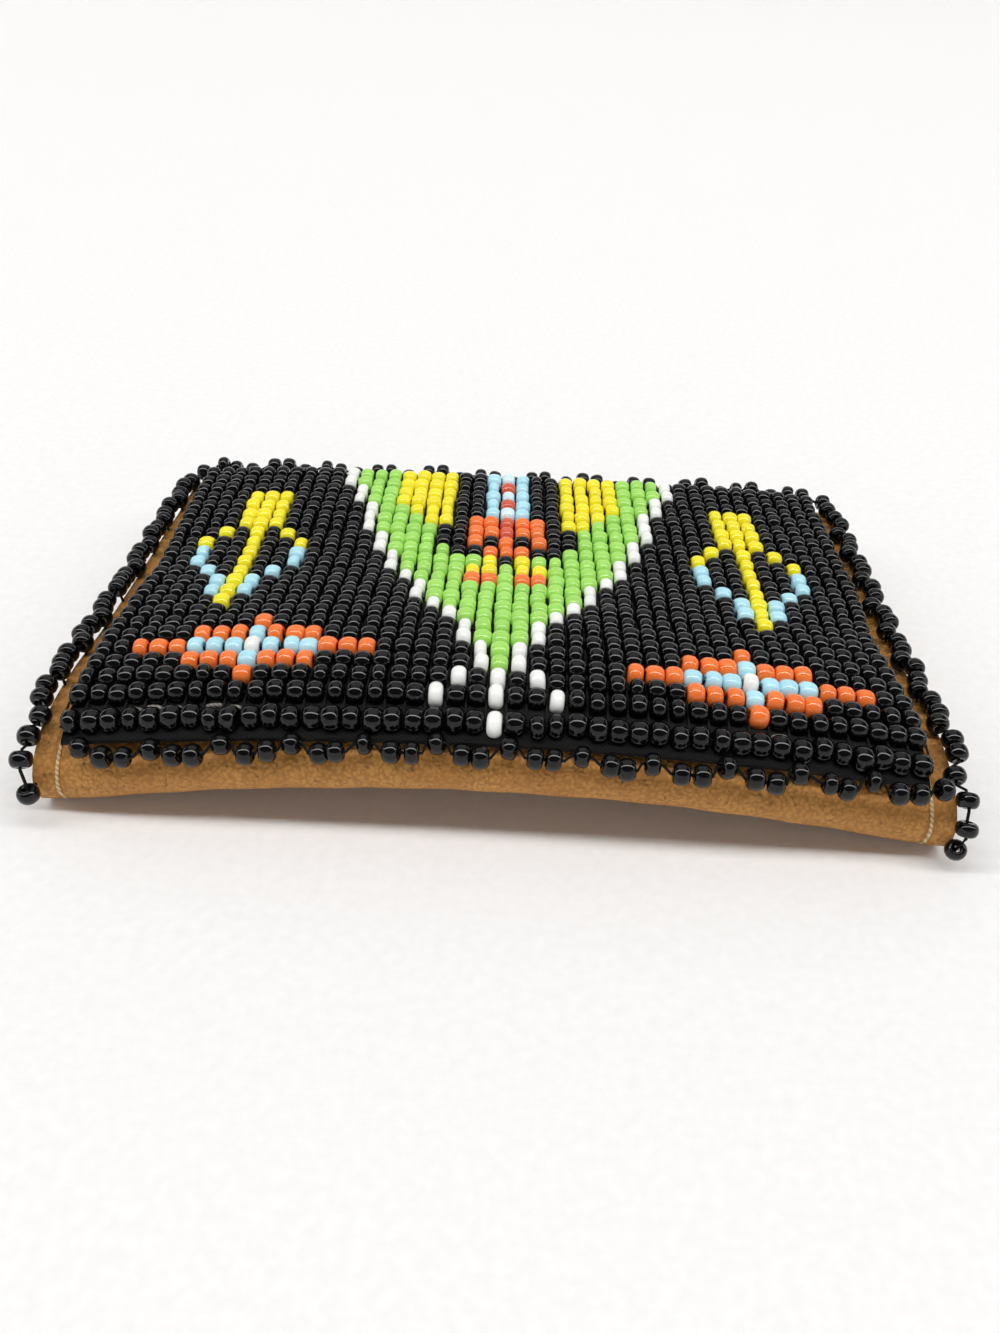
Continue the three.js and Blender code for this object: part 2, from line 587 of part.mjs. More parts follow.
// Slider: two plates held by a thin web in the slit of the chain, lips that grip the tapes, and a bail
const SLIDER_X = TOP_X - SLIDER_CLEARANCE - SLIDER_LENGTH / 2;
const PLATE_IN = TOOTH_THICK / 2 + SLIDER_CLEARANCE;
const PLATE_OUT = PLATE_IN + SLIDER_PLATE;
const LIP_IN = TAPE_THICK / 2 + SLIDER_CLEARANCE;
function sliderGeometry() {
  const x0 = SLIDER_X - SLIDER_LENGTH / 2;
  const x1 = SLIDER_X + SLIDER_LENGTH / 2;
  const web = CHAIN_SLIT / 4;
  const parts = [box(SLIDER_X, x1, CHAIN_Y - PLATE_OUT, CHAIN_Y + PLATE_OUT, CHAIN_Z - web, CHAIN_Z + web)];
  for (const face of [-1, 1]) {
    const plate = [CHAIN_Y + face * PLATE_IN, CHAIN_Y + face * PLATE_OUT].sort((a, b) => a - b);
    const lip = [CHAIN_Y + face * LIP_IN, CHAIN_Y + face * PLATE_OUT].sort((a, b) => a - b);
    parts.push(box(x0, x1, plate[0], plate[1], CHAIN_Z - SLIDER_HALF, CHAIN_Z + SLIDER_HALF));
    parts.push(box(x0, x1, lip[0], lip[1], CHAIN_Z - SLIDER_HALF, CHAIN_Z - SLIDER_HALF + SLIDER_LIP));
    parts.push(box(x0, x1, lip[0], lip[1], CHAIN_Z + SLIDER_HALF - SLIDER_LIP, CHAIN_Z + SLIDER_HALF));
  }
  const bail = new THREE.Shape();
  const half = BAIL_LENGTH / 2;
  const rise = BAIL_OPENING + BAIL_BAR;
  bail.moveTo(-half, -SLIDER_PLATE / 2).lineTo(half, -SLIDER_PLATE / 2).lineTo(half, rise - BAIL_BAR);
  bail.lineTo(half - BAIL_BAR, rise).lineTo(BAIL_BAR - half, rise).lineTo(-half, rise - BAIL_BAR).closePath();
  const eye = new THREE.Path();
  eye.moveTo(BAIL_BAR - half, 0).lineTo(BAIL_BAR - half, BAIL_OPENING);
  eye.lineTo(half - BAIL_BAR, BAIL_OPENING).lineTo(half - BAIL_BAR, 0).closePath();
  bail.holes.push(eye);
  const arch = new THREE.ExtrudeGeometry(bail, { depth: BAIL_WIDTH, bevelEnabled: false });
  arch.translate(SLIDER_X, CHAIN_Y + PLATE_OUT, CHAIN_Z - BAIL_WIDTH / 2);
  parts.push(arch);
  return joined(parts);
}
piece('zip_slider', sliderGeometry(), STEEL, 0.35, 1);

// Pull tab: its cross bar turns in the bail, and it lies flat along the chain at rest
const TAB_AXIS_X = SLIDER_X + BAIL_LENGTH / 2 - BAIL_BAR - TAB_THICK / 2 - SLIDER_CLEARANCE;
const TAB_AXIS_Y = CHAIN_Y + PLATE_OUT + BAIL_OPENING / 2;
function tabGeometry() {
  const half = TAB_WIDTH / 2;
  const bar = TAB_THICK / 2;
  const tab = new THREE.Shape();
  tab.moveTo(bar, -half).lineTo(bar, half).lineTo(half - TAB_LENGTH, half);
  tab.absarc(half - TAB_LENGTH, 0, half, Math.PI / 2, (3 * Math.PI) / 2, false);
  tab.closePath();
  const window = new THREE.Path();
  const reach = BAIL_LENGTH;
  const side = BAIL_WIDTH / 2 + SLIDER_CLEARANCE;
  window.moveTo(-bar, -side).lineTo(-bar - reach, -side);
  window.lineTo(-bar - reach, side).lineTo(-bar, side).closePath();
  tab.holes.push(window);
  const plate = new THREE.ExtrudeGeometry(tab, { depth: TAB_THICK, bevelEnabled: false, curveSegments: 8 });
  return plate.translate(0, 0, -TAB_THICK / 2).rotateX(Math.PI / 2);
}
const tabPlace = new THREE.Vector3(TAB_AXIS_X, TAB_AXIS_Y, CHAIN_Z);
piece('pull_tab', tabGeometry().translate(tabPlace.x, tabPlace.y, tabPlace.z), STEEL, 0.35, 1);

// The origin is the bottom centre of the purse
const bounds = new THREE.Box3().setFromObject(purse);
purse.position.set(-(bounds.min.x + bounds.max.x) / 2, -(bounds.min.y + bounds.max.y) / 2, -bounds.min.z);
const part = new THREE.Group();
part.add(purse);

export default part;
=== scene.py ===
# Beaded coin purse, lying on its back on a pale table with the beaded face up.
# Sizes are in millimetres from the leather's middle, x across, y from the fold to the mouth, z up; the table,
# the lamps and the camera's distance are in metres.
import bpy
import bmesh
import numpy as np
from mathutils import Matrix, Vector


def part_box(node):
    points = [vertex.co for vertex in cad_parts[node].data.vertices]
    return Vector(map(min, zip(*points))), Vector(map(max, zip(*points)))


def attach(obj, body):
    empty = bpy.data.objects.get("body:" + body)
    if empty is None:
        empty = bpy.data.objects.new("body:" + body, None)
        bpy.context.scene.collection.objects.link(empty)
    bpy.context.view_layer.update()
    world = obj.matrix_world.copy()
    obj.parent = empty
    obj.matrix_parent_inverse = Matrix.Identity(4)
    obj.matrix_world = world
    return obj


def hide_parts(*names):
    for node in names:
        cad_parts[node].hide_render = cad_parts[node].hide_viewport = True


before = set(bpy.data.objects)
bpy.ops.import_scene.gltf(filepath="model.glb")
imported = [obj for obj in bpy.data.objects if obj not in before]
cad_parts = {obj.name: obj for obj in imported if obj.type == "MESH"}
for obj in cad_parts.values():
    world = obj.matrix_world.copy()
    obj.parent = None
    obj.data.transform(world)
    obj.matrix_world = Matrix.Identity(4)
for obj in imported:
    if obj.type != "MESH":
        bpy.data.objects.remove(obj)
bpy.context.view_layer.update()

# Leather body. One strip of tan cowhide is folded at the near edge and sewn up both sides. The pouch is full
# in the middle, its near edge arches off the table, and its sides lift to the seams and draw in to the mouth.
half_width, flat_half_width, seam_x = 44.8, 24, 42.5
mouth_y, nose_y = 28.9, -28.9
hide, hide_bulge = 1.2, 0.22
fold_over, fold_under, nose_share = 9.7, 3.5, 0.42
fold_y, under_y = nose_y + fold_over, nose_y + fold_under
mouth_taper, side_lift = 1.0, 4.8
arch_height, arch_length = 4.2, 28
mouth_height, fold_height = 8.6, 7.2
mouth_seam_height, fold_seam_height = 2.8, 8.3
wave_height, wave_inset = 0.07, 0.11
seam_dip_depth, seam_dip_width = 0.32, 0.42
zip_dip_depth, zip_dip_width = 0.3, 0.4
zip_stitch_inset = 4
stitch_y = mouth_y - zip_stitch_inset
to_part = np.array([0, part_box("leather_body")[1][1] * 1000 - mouth_y, 0])


def mix(a, b, share):
    return a + (b - a) * share


def near(y):
    """1 at the fold, falling smoothly to 0 where the near edge's arch ends."""
    share = np.clip((fold_y + arch_length - y) / arch_length, 0, 1)
    return share * share * (3 - 2 * share)


def side(x):
    """0 over the flat middle, rising to 1 at the seams."""
    return np.clip((np.abs(x) - flat_half_width) / (seam_x - flat_half_width), 0, 1) ** 3


def taper(y):
    """Share of the full width that is left where the sides draw in to the mouth."""
    return 1 - mouth_taper / half_width * np.clip((y - fold_y) / (mouth_y - fold_y), 0, 1)


def back_z(x, y):
    """Height of the back's outer face."""
    arch = arch_height * (1 - np.minimum(1, (x / seam_x) ** 2))
    return arch * near(y) + side_lift * side(x) * (1 - near(y) ** 3)


def front_z(x, y):
    """Height of the front's outer face."""
    middle = mix(mouth_height, fold_height, near(y))
    seam = mix(mouth_seam_height, fold_seam_height, near(y) ** 3)
    return back_z(x, y) + mix(middle, seam, side(x))


def nose_z(x):
    """Height of the fold's foremost line."""
    return mix(back_z(x, fold_y), front_z(x, fold_y), nose_share)


# The rows of points on the back lie closer together along the zip's stitching, where the hide dips.
under_steps, over_steps, face_steps = 12, 20, 40
row_above_dip, dip_reach, row_below_dip = 1.0, 0.6, 1.2
back_y = np.concatenate([np.linspace(mouth_y, stitch_y + row_above_dip, 4),
                         stitch_y + np.linspace(dip_reach, -dip_reach, 5),
                         np.linspace(stitch_y - row_below_dip, under_y, face_steps + 1)])


def strip(x, inset):
    """Rows of points at each x, from the back mouth round the fold to the front mouth."""
    x = np.atleast_1d(x)[:, None]
    y_back = back_y[None]
    under = np.radians(np.linspace(0, 90, under_steps + 1))[None, 1:]
    over = np.radians(np.linspace(90, 0, over_steps + 1))[None, 1:]
    y_front = np.linspace(fold_y, mouth_y, face_steps + 1)[None, 1:]
    nose = nose_z(x)
    y = [y_back,
         under_y - (fold_under - inset) * np.sin(under),
         fold_y - (fold_over - inset) * np.sin(over),
         y_front]
    z = [back_z(x, y_back) + inset,
         nose - (nose - back_z(x, under_y) - inset) * np.cos(under),
         nose + (front_z(x, fold_y) - inset - nose) * np.cos(over),
         front_z(x, y_front) - inset]
    y = np.concatenate(y, 1) + 0 * x
    z = np.concatenate(z, 1)
    return np.stack([x * taper(y), y, z], -1)


def unit(v):
    return v / np.linalg.norm(v, axis=-1, keepdims=True)


def grid_normals(grid):
    return unit(np.cross(np.gradient(grid, axis=0), np.gradient(grid, axis=1)))


def shell(outer, inner, bulge):
    """Points and faces of a closed sheet between two grids with a rounded edge, and how many faces, the last
    ones, make that edge."""
    ni, nj = outer.shape[:2]
    index = np.arange(ni * nj).reshape(ni, nj)
    skin = np.stack([index[:-1, :-1], index[1:, :-1], index[1:, 1:], index[:-1, 1:]], -1).reshape(-1, 4)
    loop = np.concatenate([index[0, :-1], index[:-1, -1], index[-1, :0:-1], index[:0:-1, 0]])
    inward = np.concatenate([index[1, :-1], index[:-1, -2], index[-2, :0:-1], index[:0:-1, 1]])
    flat_outer, flat_inner = outer.reshape(-1, 3), inner.reshape(-1, 3)
    middle = (flat_outer[loop] + flat_inner[loop]) / 2
    middle = middle + bulge * unit(flat_outer[loop] - flat_outer[inward])
    points = np.concatenate([flat_outer, flat_inner, middle])
    rim = 2 * ni * nj + np.arange(len(loop))
    after = np.roll(np.arange(len(loop)), -1)
    edge = [np.stack([loop[after], loop, rim, rim[after]], -1),
            np.stack([rim[after], rim, loop + ni * nj, loop[after] + ni * nj], -1)]
    faces = np.concatenate([skin, skin[:, ::-1] + ni * nj, *edge])
    return points, faces, 2 * len(loop)


def add_piece(name, points, faces, materials, body, finish=None):
    """A smooth mesh from points in millimetres, riding on a body of the purse."""
    mesh = bpy.data.meshes.new(name)
    mesh.from_pydata((np.asarray(points) + to_part) * 0.001, [], [list(map(int, face)) for face in faces])
    for material in materials:
        mesh.materials.append(material)
    if finish is not None:
        mesh.polygons.foreach_set("material_index", np.asarray(finish, dtype=np.int32))
    mesh.polygons.foreach_set("use_smooth", np.ones(len(mesh.polygons), dtype=bool))
    mesh.update()
    made = bpy.data.objects.new(name, mesh)
    bpy.context.collection.objects.link(made)
    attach(made, body)
    return made


def linear(code):
    """A colour written as sRGB hex, as linear red, green, blue and alpha."""
    parts = [int(code[k:k + 2], 16) / 255 for k in (1, 3, 5)]
    return (*[c / 12.92 if c <= 0.04045 else ((c + 0.055) / 1.055) ** 2.4 for c in parts], 1.0)


def add_node(tree, kind, inputs=None, **settings):
    """Adds a node, sets its settings, and sets or links its inputs."""
    made = tree.nodes.new(kind)
    for key, value in settings.items():
        setattr(made, key, value)
    for key, value in (inputs or {}).items():
        if isinstance(value, bpy.types.NodeSocket):
            tree.links.new(value, made.inputs[key])
        else:
            made.inputs[key].default_value = value
    return made


def grain(size):
    """Scale of a speckled pattern whose spots are this many millimetres across."""
    return 1000 / size


def ribs(spacing):
    """Scale of a slanting band pattern whose ribs are this many millimetres apart along an edge."""
    return 1000 * 2 * np.pi / 10 / spacing


def new_material(name):
    made = bpy.data.materials.new(name)
    made.use_nodes = True
    return made, made.node_tree, made.node_tree.nodes["Principled BSDF"]


# Vegetable-tanned cowhide with a fine grain about 0.4 mm across: soft matt pebbles with painted shade in the
# creases between them, small dark pores here and there, and cloudy patches where the dye took unevenly.
cowhide, tree, shader = new_material("pebbled tan cowhide")
place = add_node(tree, "ShaderNodeTexCoord").outputs["Object"]
wander = add_node(tree, "ShaderNodeTexNoise", {"Vector": place, "Scale": grain(1.1), "Detail": 2})
offset = add_node(tree, "ShaderNodeVectorMath", {0: wander.outputs["Color"], "Scale": 0.0006},
                  operation="SCALE")
bent = add_node(tree, "ShaderNodeVectorMath", {0: place, 1: offset.outputs[0]}, operation="ADD")
pebble = add_node(tree, "ShaderNodeTexVoronoi",
                  {"Vector": bent.outputs[0], "Scale": grain(0.4), "Smoothness": 0.5}, feature="SMOOTH_F1")
crease = add_node(tree, "ShaderNodeMapRange",
                  {"Value": pebble.outputs["Distance"], "From Min": 0.75, "From Max": 0.25},
                  interpolation_type="SMOOTHSTEP")
cloud = add_node(tree, "ShaderNodeTexNoise",
                 {"Vector": place, "Scale": grain(4.5), "Detail": 5, "Roughness": 0.65})
dye = add_node(tree, "ShaderNodeValToRGB", {"Fac": cloud.outputs["Fac"]})
dye.color_ramp.elements[0].position, dye.color_ramp.elements[0].color = 0.3, linear("#b77c37")
dye.color_ramp.elements[1].position, dye.color_ramp.elements[1].color = 0.7, linear("#ca944a")
# Painted shade: the creases between the pebbles are darkened to #a77131, rising to the dye on their tops.
crease_shaded = add_node(tree, "ShaderNodeMix",
                {"Factor": crease.outputs[0], "A": linear("#a77131"), "B": dye.outputs["Color"]},
                data_type="RGBA")
speck = add_node(tree, "ShaderNodeTexNoise", {"Vector": place, "Scale": grain(0.6), "Detail": 1})
pore = add_node(tree, "ShaderNodeMapRange",
                {"Value": speck.outputs["Fac"], "From Min": 0.64, "From Max": 0.76},
                interpolation_type="SMOOTHSTEP")
pitted = add_node(tree, "ShaderNodeMix",
                  {"Factor": pore.outputs[0], "A": crease_shaded.outputs["Result"], "B": linear("#8b5c28")},
                  data_type="RGBA")
relief = add_node(tree, "ShaderNodeMath", {0: pore.outputs[0], 1: -0.8, 2: crease.outputs[0]},
                  operation="MULTIPLY_ADD")
bump = add_node(tree, "ShaderNodeBump", {"Height": relief.outputs[0], "Strength": 0.6, "Distance": 0.00012})
tree.links.new(pitted.outputs["Result"], shader.inputs["Base Color"])
tree.links.new(bump.outputs["Normal"], shader.inputs["Normal"])
shader.inputs["Roughness"].default_value = 0.6
shader.inputs["IOR"].default_value = 1.45

# The cut edge of the hide: dry, and paler where its fibrous middle shows.
cut_hide, tree, shader = new_material("cut cowhide edge")
place = add_node(tree, "ShaderNodeTexCoord").outputs["Object"]
fibre = add_node(tree, "ShaderNodeTexNoise", {"Vector": place, "Scale": grain(0.4), "Detail": 3})
dye = add_node(tree, "ShaderNodeValToRGB", {"Fac": fibre.outputs["Fac"]})
dye.color_ramp.elements[0].color, dye.color_ramp.elements[1].color = linear("#94673a"), linear("#c59a63")
bump = add_node(tree, "ShaderNodeBump",
                {"Height": fibre.outputs["Fac"], "Strength": 0.5, "Distance": 0.0001})
tree.links.new(dye.outputs["Color"], shader.inputs["Base Color"])
tree.links.new(bump.outputs["Normal"], shader.inputs["Normal"])
shader.inputs["Roughness"].default_value = 0.85

# Slow waves run over the hide, set in by about their own height, and it dips along the seams and along the
# row of stitches on the back.
hide_x = np.unique(np.concatenate([np.linspace(-half_width, half_width, 101),
                                   *[sign * (seam_x + np.linspace(-1, 1, 9)) for sign in (-1, 1)]]))
hide_out, hide_in = strip(hide_x, 0.0), strip(hide_x, hide)
hide_normal = grid_normals(hide_out)
x, y = hide_out[..., 0], hide_out[..., 1]
waves = wave_height * (np.sin(x * 0.31 + y * 0.22) * np.sin(y * 0.4 + 1.3)
                       + 0.6 * np.sin(x * 0.83 - y * 0.5 + 0.7))
seam_dip = -seam_dip_depth * np.exp(-((np.abs(hide_x) - seam_x) / seam_dip_width) ** 2)[:, None]
zip_dip = np.zeros(hide_out.shape[:2])
zip_dip[:, :len(back_y)] = -zip_dip_depth * np.exp(-((back_y - stitch_y) / zip_dip_width) ** 2)
hide_out = hide_out + hide_normal * ((waves - wave_inset) + np.minimum(seam_dip, zip_dip))[..., None]
points, faces, edges = shell(hide_out, hide_in, hide_bulge)
finish = np.zeros(len(faces))
finish[-edges:] = 1
leather = add_piece("leather_pouch", points, faces, [cowhide, cut_hide], "purse", finish)
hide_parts("leather_body")

# Stitching. Waxed cream thread runs in stitches up both side seams, with one long stitch that wraps the fold
# at each end. A row along the mouth through the front, and one through the back, holds the zip.
thread_radius = 0.2
stitch_length, stitch_gap = 3.1, 0.9
stitch_pitch = stitch_length + stitch_gap
buried, proud, rise_length = 0.3, 0.1, 0.7
points_per_mm, fewest_points = 2.5, 7
back_margin, front_margin = 0.8, 3.6
wrap_steps = 17
zip_row_half, zip_row_begin, zip_row_end = 27.4, 0.4, 51.6


def tube(path, radius, sides=6):
    """Points and faces of a round string along a path, closed at both ends."""
    path = np.asarray(path, dtype=float)
    along = unit(np.gradient(path, axis=0))
    lead = np.eye(3)[np.argmin(np.abs(along).mean(0))]
    across = unit(np.cross(along, lead))
    up = np.cross(across, along)
    turn = np.linspace(0, 2 * np.pi, sides, endpoint=False)
    ring = across[:, None] * np.cos(turn)[None, :, None] + up[:, None] * np.sin(turn)[None, :, None]
    points = (path[:, None] + ring * radius).reshape(-1, 3)
    index = np.arange(len(path) * sides).reshape(len(path), sides)
    skin = np.stack([index[:-1], index[1:], np.roll(index[1:], -1, 1), np.roll(index[:-1], -1, 1)], -1)
    ends = [list(index[0]), list(index[-1][::-1])]
    return points, [list(face) for face in skin.reshape(-1, 4)] + ends


def together(made):
    """Joins lists of points and faces into one."""
    points, faces, count = [], [], 0
    for some_points, some_faces in made:
        points.append(some_points)
        faces += [[k + count for k in face] for face in some_faces]
        count += len(some_points)
    return np.concatenate(points), faces


def lengths_along(line):
    return np.concatenate([[0], np.cumsum(np.linalg.norm(np.diff(line, axis=0), axis=1))])


def stitches(line, normal, runs):
    """Strings that rise out of the leather and dip back in, for runs given as lengths along a line."""
    length = lengths_along(line)
    made = []
    for begin, end in runs:
        t = np.linspace(0, 1, max(fewest_points, int((end - begin) * points_per_mm)))
        at = mix(begin, end, t)
        on_line = np.stack([np.interp(at, length, line[:, k]) for k in range(3)], -1)
        out = unit(np.stack([np.interp(at, length, normal[:, k]) for k in range(3)], -1))
        risen = np.minimum(1, np.minimum(t, 1 - t) * (end - begin) / rise_length)
        made.append(tube(on_line + out * mix(-buried, proud, risen ** 0.5)[:, None], thread_radius))
    return made


# Waxed linen: two plies laid round each other give the thread a slanting rib and a dull wax gloss. The rib is
# drawn 0.7 mm apart, coarser than on the real thread, so that it shows.
waxed_linen, tree, shader = new_material("waxed cream linen thread")
place = add_node(tree, "ShaderNodeTexCoord").outputs["Object"]
ply = add_node(tree, "ShaderNodeTexWave",
               {"Vector": place, "Scale": ribs(0.7), "Distortion": 1.5, "Detail": 1},
               bands_direction="DIAGONAL")
dye = add_node(tree, "ShaderNodeValToRGB", {"Fac": ply.outputs["Fac"]})
dye.color_ramp.elements[0].color, dye.color_ramp.elements[1].color = linear("#b8945f"), linear("#e6cfa6")
bump = add_node(tree, "ShaderNodeBump",
                {"Height": ply.outputs["Fac"], "Strength": 0.4, "Distance": 0.00005})
tree.links.new(dye.outputs["Color"], shader.inputs["Base Color"])
tree.links.new(bump.outputs["Normal"], shader.inputs["Normal"])
shader.inputs["Roughness"].default_value = 0.5

for name, sign in (("left_seam_thread", -1), ("right_seam_thread", 1)):
    column = int(np.argmin(np.abs(hide_x - sign * seam_x)))
    line, normal = hide_out[column], hide_normal[column]
    length = lengths_along(line)
    wrap_begin = length[len(back_y) - 2]
    wrap_end = length[len(back_y) + under_steps + wrap_steps]
    starts = [*np.arange(wrap_begin - stitch_pitch, back_margin, -stitch_pitch),
              *np.arange(wrap_end + stitch_gap, length[-1] - front_margin, stitch_pitch)]
    runs = [(wrap_begin, wrap_end)] + [(start, start + stitch_length) for start in starts]
    points, faces = together(stitches(line, normal, runs))
    seam = add_piece(name + "_stitches", points, faces, [waxed_linen], "purse")
    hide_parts(name)

zip_rows = (("upper_zip_thread", front_z, 1, 0.16), ("lower_zip_thread", back_z, -1, 0.37))
for name, level, sign, sink in zip_rows:
    x = np.linspace(-zip_row_half, zip_row_half, 120)
    line = np.stack([x, 0 * x + stitch_y, level(x / taper(stitch_y), stitch_y) - sign * sink], -1)
    normal = np.tile([0.0, 0.0, sign], (len(x), 1))
    starts = np.arange(zip_row_begin, zip_row_end, stitch_pitch)
    points, faces = together(stitches(line, normal, [(start, start + stitch_length) for start in starts]))
    row = add_piece(name + "_stitches", points, faces, [waxed_linen], "purse")
    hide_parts(name)

# Zip tapes. Two strips of black woven tape lie on the inside of the leather, come out of the mouth and turn
# towards each other; each carries a row of moulded teeth on its edge.
zip_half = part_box("upper_zip_tape")[1][0] * 1000
tape, tape_gap, tape_reach, tape_bulge = 0.45, 0.15, 8, 0.05
bend_radius, rows_inside = 1.1, 12
chain_out, chain_z = 2, 4.4
chain_y = mouth_y + chain_out
slit, tooth_root, stop_length = 0.25, 1.6, 1.6
tooth_pitch, tooth_half_depth, tooth_chamfer, tooth_draft = 2.2, 0.7, 0.16, 0.82
tooth_half = tooth_pitch / 4

# Polyester twill tape: matt, with a slanting rib. The real rib is too fine to show, so it is drawn 1.2 mm
# apart, broken by picks 0.6 mm apart. Bands straight across lie twice as close as slanting ones of one scale.
twill, tree, shader = new_material("black polyester twill tape")
place = add_node(tree, "ShaderNodeTexCoord").outputs["Object"]
rib = add_node(tree, "ShaderNodeTexWave", {"Vector": place, "Scale": ribs(1.2), "Distortion": 0.4},
               bands_direction="DIAGONAL")
pick = add_node(tree, "ShaderNodeTexWave", {"Vector": place, "Scale": ribs(0.6) / 2, "Distortion": 0.4},
                bands_direction="X")
weave = add_node(tree, "ShaderNodeMath", {0: rib.outputs["Fac"], 1: pick.outputs["Fac"]},
                 operation="MULTIPLY")
dye = add_node(tree, "ShaderNodeValToRGB", {"Fac": weave.outputs[0]})
dye.color_ramp.elements[0].color, dye.color_ramp.elements[1].color = linear("#171513"), linear("#3a352f")
bump = add_node(tree, "ShaderNodeBump", {"Height": weave.outputs[0], "Strength": 0.5, "Distance": 0.0001})
tree.links.new(dye.outputs["Color"], shader.inputs["Base Color"])
tree.links.new(bump.outputs["Normal"], shader.inputs["Normal"])
shader.inputs["Roughness"].default_value = 0.9

# Acetal teeth, injection moulded: semi-gloss dark plastic with a faint flow mottle.
acetal, tree, shader = new_material("moulded black acetal")
place = add_node(tree, "ShaderNodeTexCoord").outputs["Object"]
flow = add_node(tree, "ShaderNodeTexNoise", {"Vector": place, "Scale": grain(1.1), "Detail": 2})
dye = add_node(tree, "ShaderNodeValToRGB", {"Fac": flow.outputs["Fac"]})
dye.color_ramp.elements[0].color, dye.color_ramp.elements[1].color = linear("#1c1a18"), linear("#2e2a26")
tree.links.new(dye.outputs["Color"], shader.inputs["Base Color"])
shader.inputs["Roughness"].default_value = 0.32


def block(half, chamfer):
    """Points and faces of a small block with rounded edges, centred on the origin."""
    solid = bmesh.new()
    bmesh.ops.create_cube(solid, size=2)
    bmesh.ops.scale(solid, vec=half, verts=solid.verts)
    bmesh.ops.bevel(solid, geom=solid.edges[:], offset=chamfer, segments=2, affect="EDGES", profile=0.5)
    solid.verts.index_update()
    points = np.array([v.co[:] for v in solid.verts])
    faces = [[v.index for v in face.verts] for face in solid.faces]
    solid.free()
    return points, faces


for name, level, sign in (("upper_zip_tape", front_z, 1), ("lower_zip_tape", back_z, -1)):
    x = np.linspace(-zip_half, zip_half, 81)[:, None]
    y_in = np.linspace(mouth_y - tape_reach, mouth_y, rows_inside)
    turn = np.radians(np.linspace(0, 90, 9))
    corner_y = chain_y + tape / 2 - bend_radius
    end_z = chain_z + sign * (tooth_root - tape / 2)
    sides = []
    for lift in (0.0, tape):
        bend = bend_radius - lift
        y = np.concatenate([y_in, corner_y + bend * np.sin(turn), np.full(6, corner_y + bend)])[None]
        y_leather = np.minimum(y, mouth_y)
        flat_z = level(x / taper(y_leather), y_leather) - sign * hide - sign * (tape_gap + lift)
        foot_z = flat_z[:, rows_inside - 1:rows_inside]
        down = foot_z - sign * bend * (1 - np.cos(turn))[None]
        rest = mix(down[:, -1:], end_z, np.linspace(0, 1, 7)[None, 1:])
        z = np.concatenate([flat_z[:, :rows_inside], down, rest], 1)
        sides.append(np.stack([x + 0 * y, y + 0 * x, z], -1))
    outer, inner = sides if sign > 0 else sides[::-1]
    points, faces = shell(outer, inner, tape_bulge)[:2]
    woven = add_piece(name + "_woven", points, faces, [twill], "purse")
    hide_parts(name)
    count = int((2 * (zip_half - stop_length) - tooth_pitch) // tooth_pitch)
    tooth_points, tooth_faces = block((tooth_half, tooth_half_depth, (tooth_root - slit) / 2), tooth_chamfer)
    head = np.where(tooth_points[:, 2] * sign < 0, 1.0, tooth_draft)[:, None]
    tooth_points = tooth_points * np.concatenate([head, head, 0 * head + 1], 1)
    tooth_z = chain_z + sign * (slit + tooth_root) / 2
    row = []
    for k in range(count):
        tooth_x = (k - (count - 1) / 2) * tooth_pitch + sign * tooth_half
        row.append((tooth_points + [tooth_x, chain_y, tooth_z], tooth_faces))
    points, faces = together(row)
    add_piece(name + "_teeth", points, faces, [acetal], "purse")

# Zip metalwork. Two top stops and a bottom stop are pressed on the ends of the chain. The slider is a
# die-cast body with a bail, and its stamped pull tab turns on a cross bar in the bail.
stop_chamfer = 0.22
slider_half_length, slider_half, slider_corner = 3.5, 2.15, 1.1
plate_in, plate_out, metal_chamfer = 0.9, 1.5, 0.14
lip_in, lip_out, lip_half, lip_half_length, lip_chamfer = 0.425, plate_out - 0.1, 0.175, 2.6, 0.08
web_x, web_half_length, web_half, web_chamfer = 1.7, 1.6, 0.125, 0.05
bail_half, bail_root, bail_top, bail_corner = 2.1, -1.2, 1.9, 0.7
hole_half, hole_root, hole_top, hole_corner = 1.5, -0.9, 1.3, 0.35
bail_thick, bail_chamfer, bail_foot = 1.2, 0.12, -0.3
tab_half, tab_length, tab_thick, tab_corner, tab_waist = 2.2, 17, 0.8, 0.3, 0.35
bar_inset, slot_half = 0.4, 0.8

# Nickel-plated zinc: cast, tumbled and plated, so edges shine and the faces keep a faint satin mottle.
nickel, tree, shader = new_material("nickel-plated zinc")
place = add_node(tree, "ShaderNodeTexCoord").outputs["Object"]
satin = add_node(tree, "ShaderNodeTexNoise", {"Vector": place, "Scale": grain(0.7), "Detail": 4})
gloss = add_node(tree, "ShaderNodeMapRange", {"Value": satin.outputs["Fac"], "To Min": 0.2, "To Max": 0.42})
dye = add_node(tree, "ShaderNodeValToRGB", {"Fac": satin.outputs["Fac"]})
dye.color_ramp.elements[0].color, dye.color_ramp.elements[1].color = linear("#a9a69d"), linear("#cbc8c0")
bump = add_node(tree, "ShaderNodeBump",
                {"Height": satin.outputs["Fac"], "Strength": 0.12, "Distance": 0.00005})
tree.links.new(dye.outputs["Color"], shader.inputs["Base Color"])
tree.links.new(gloss.outputs[0], shader.inputs["Roughness"])
tree.links.new(bump.outputs["Normal"], shader.inputs["Normal"])
shader.inputs["Metallic"].default_value = 1.0


def corners(node):
    """A node's lowest and highest corners in millimetres."""
    return [np.array(corner) * 1000 - to_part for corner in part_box(node)]


for name in ("upper_top_stop", "lower_top_stop", "bottom_stop"):
    low, high = corners(name)
    points, faces = block((high - low) / 2, stop_chamfer)
    stop = add_piece(name + "_crimped", points + (low + high) / 2, faces, [nickel], "purse")
    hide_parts(name)


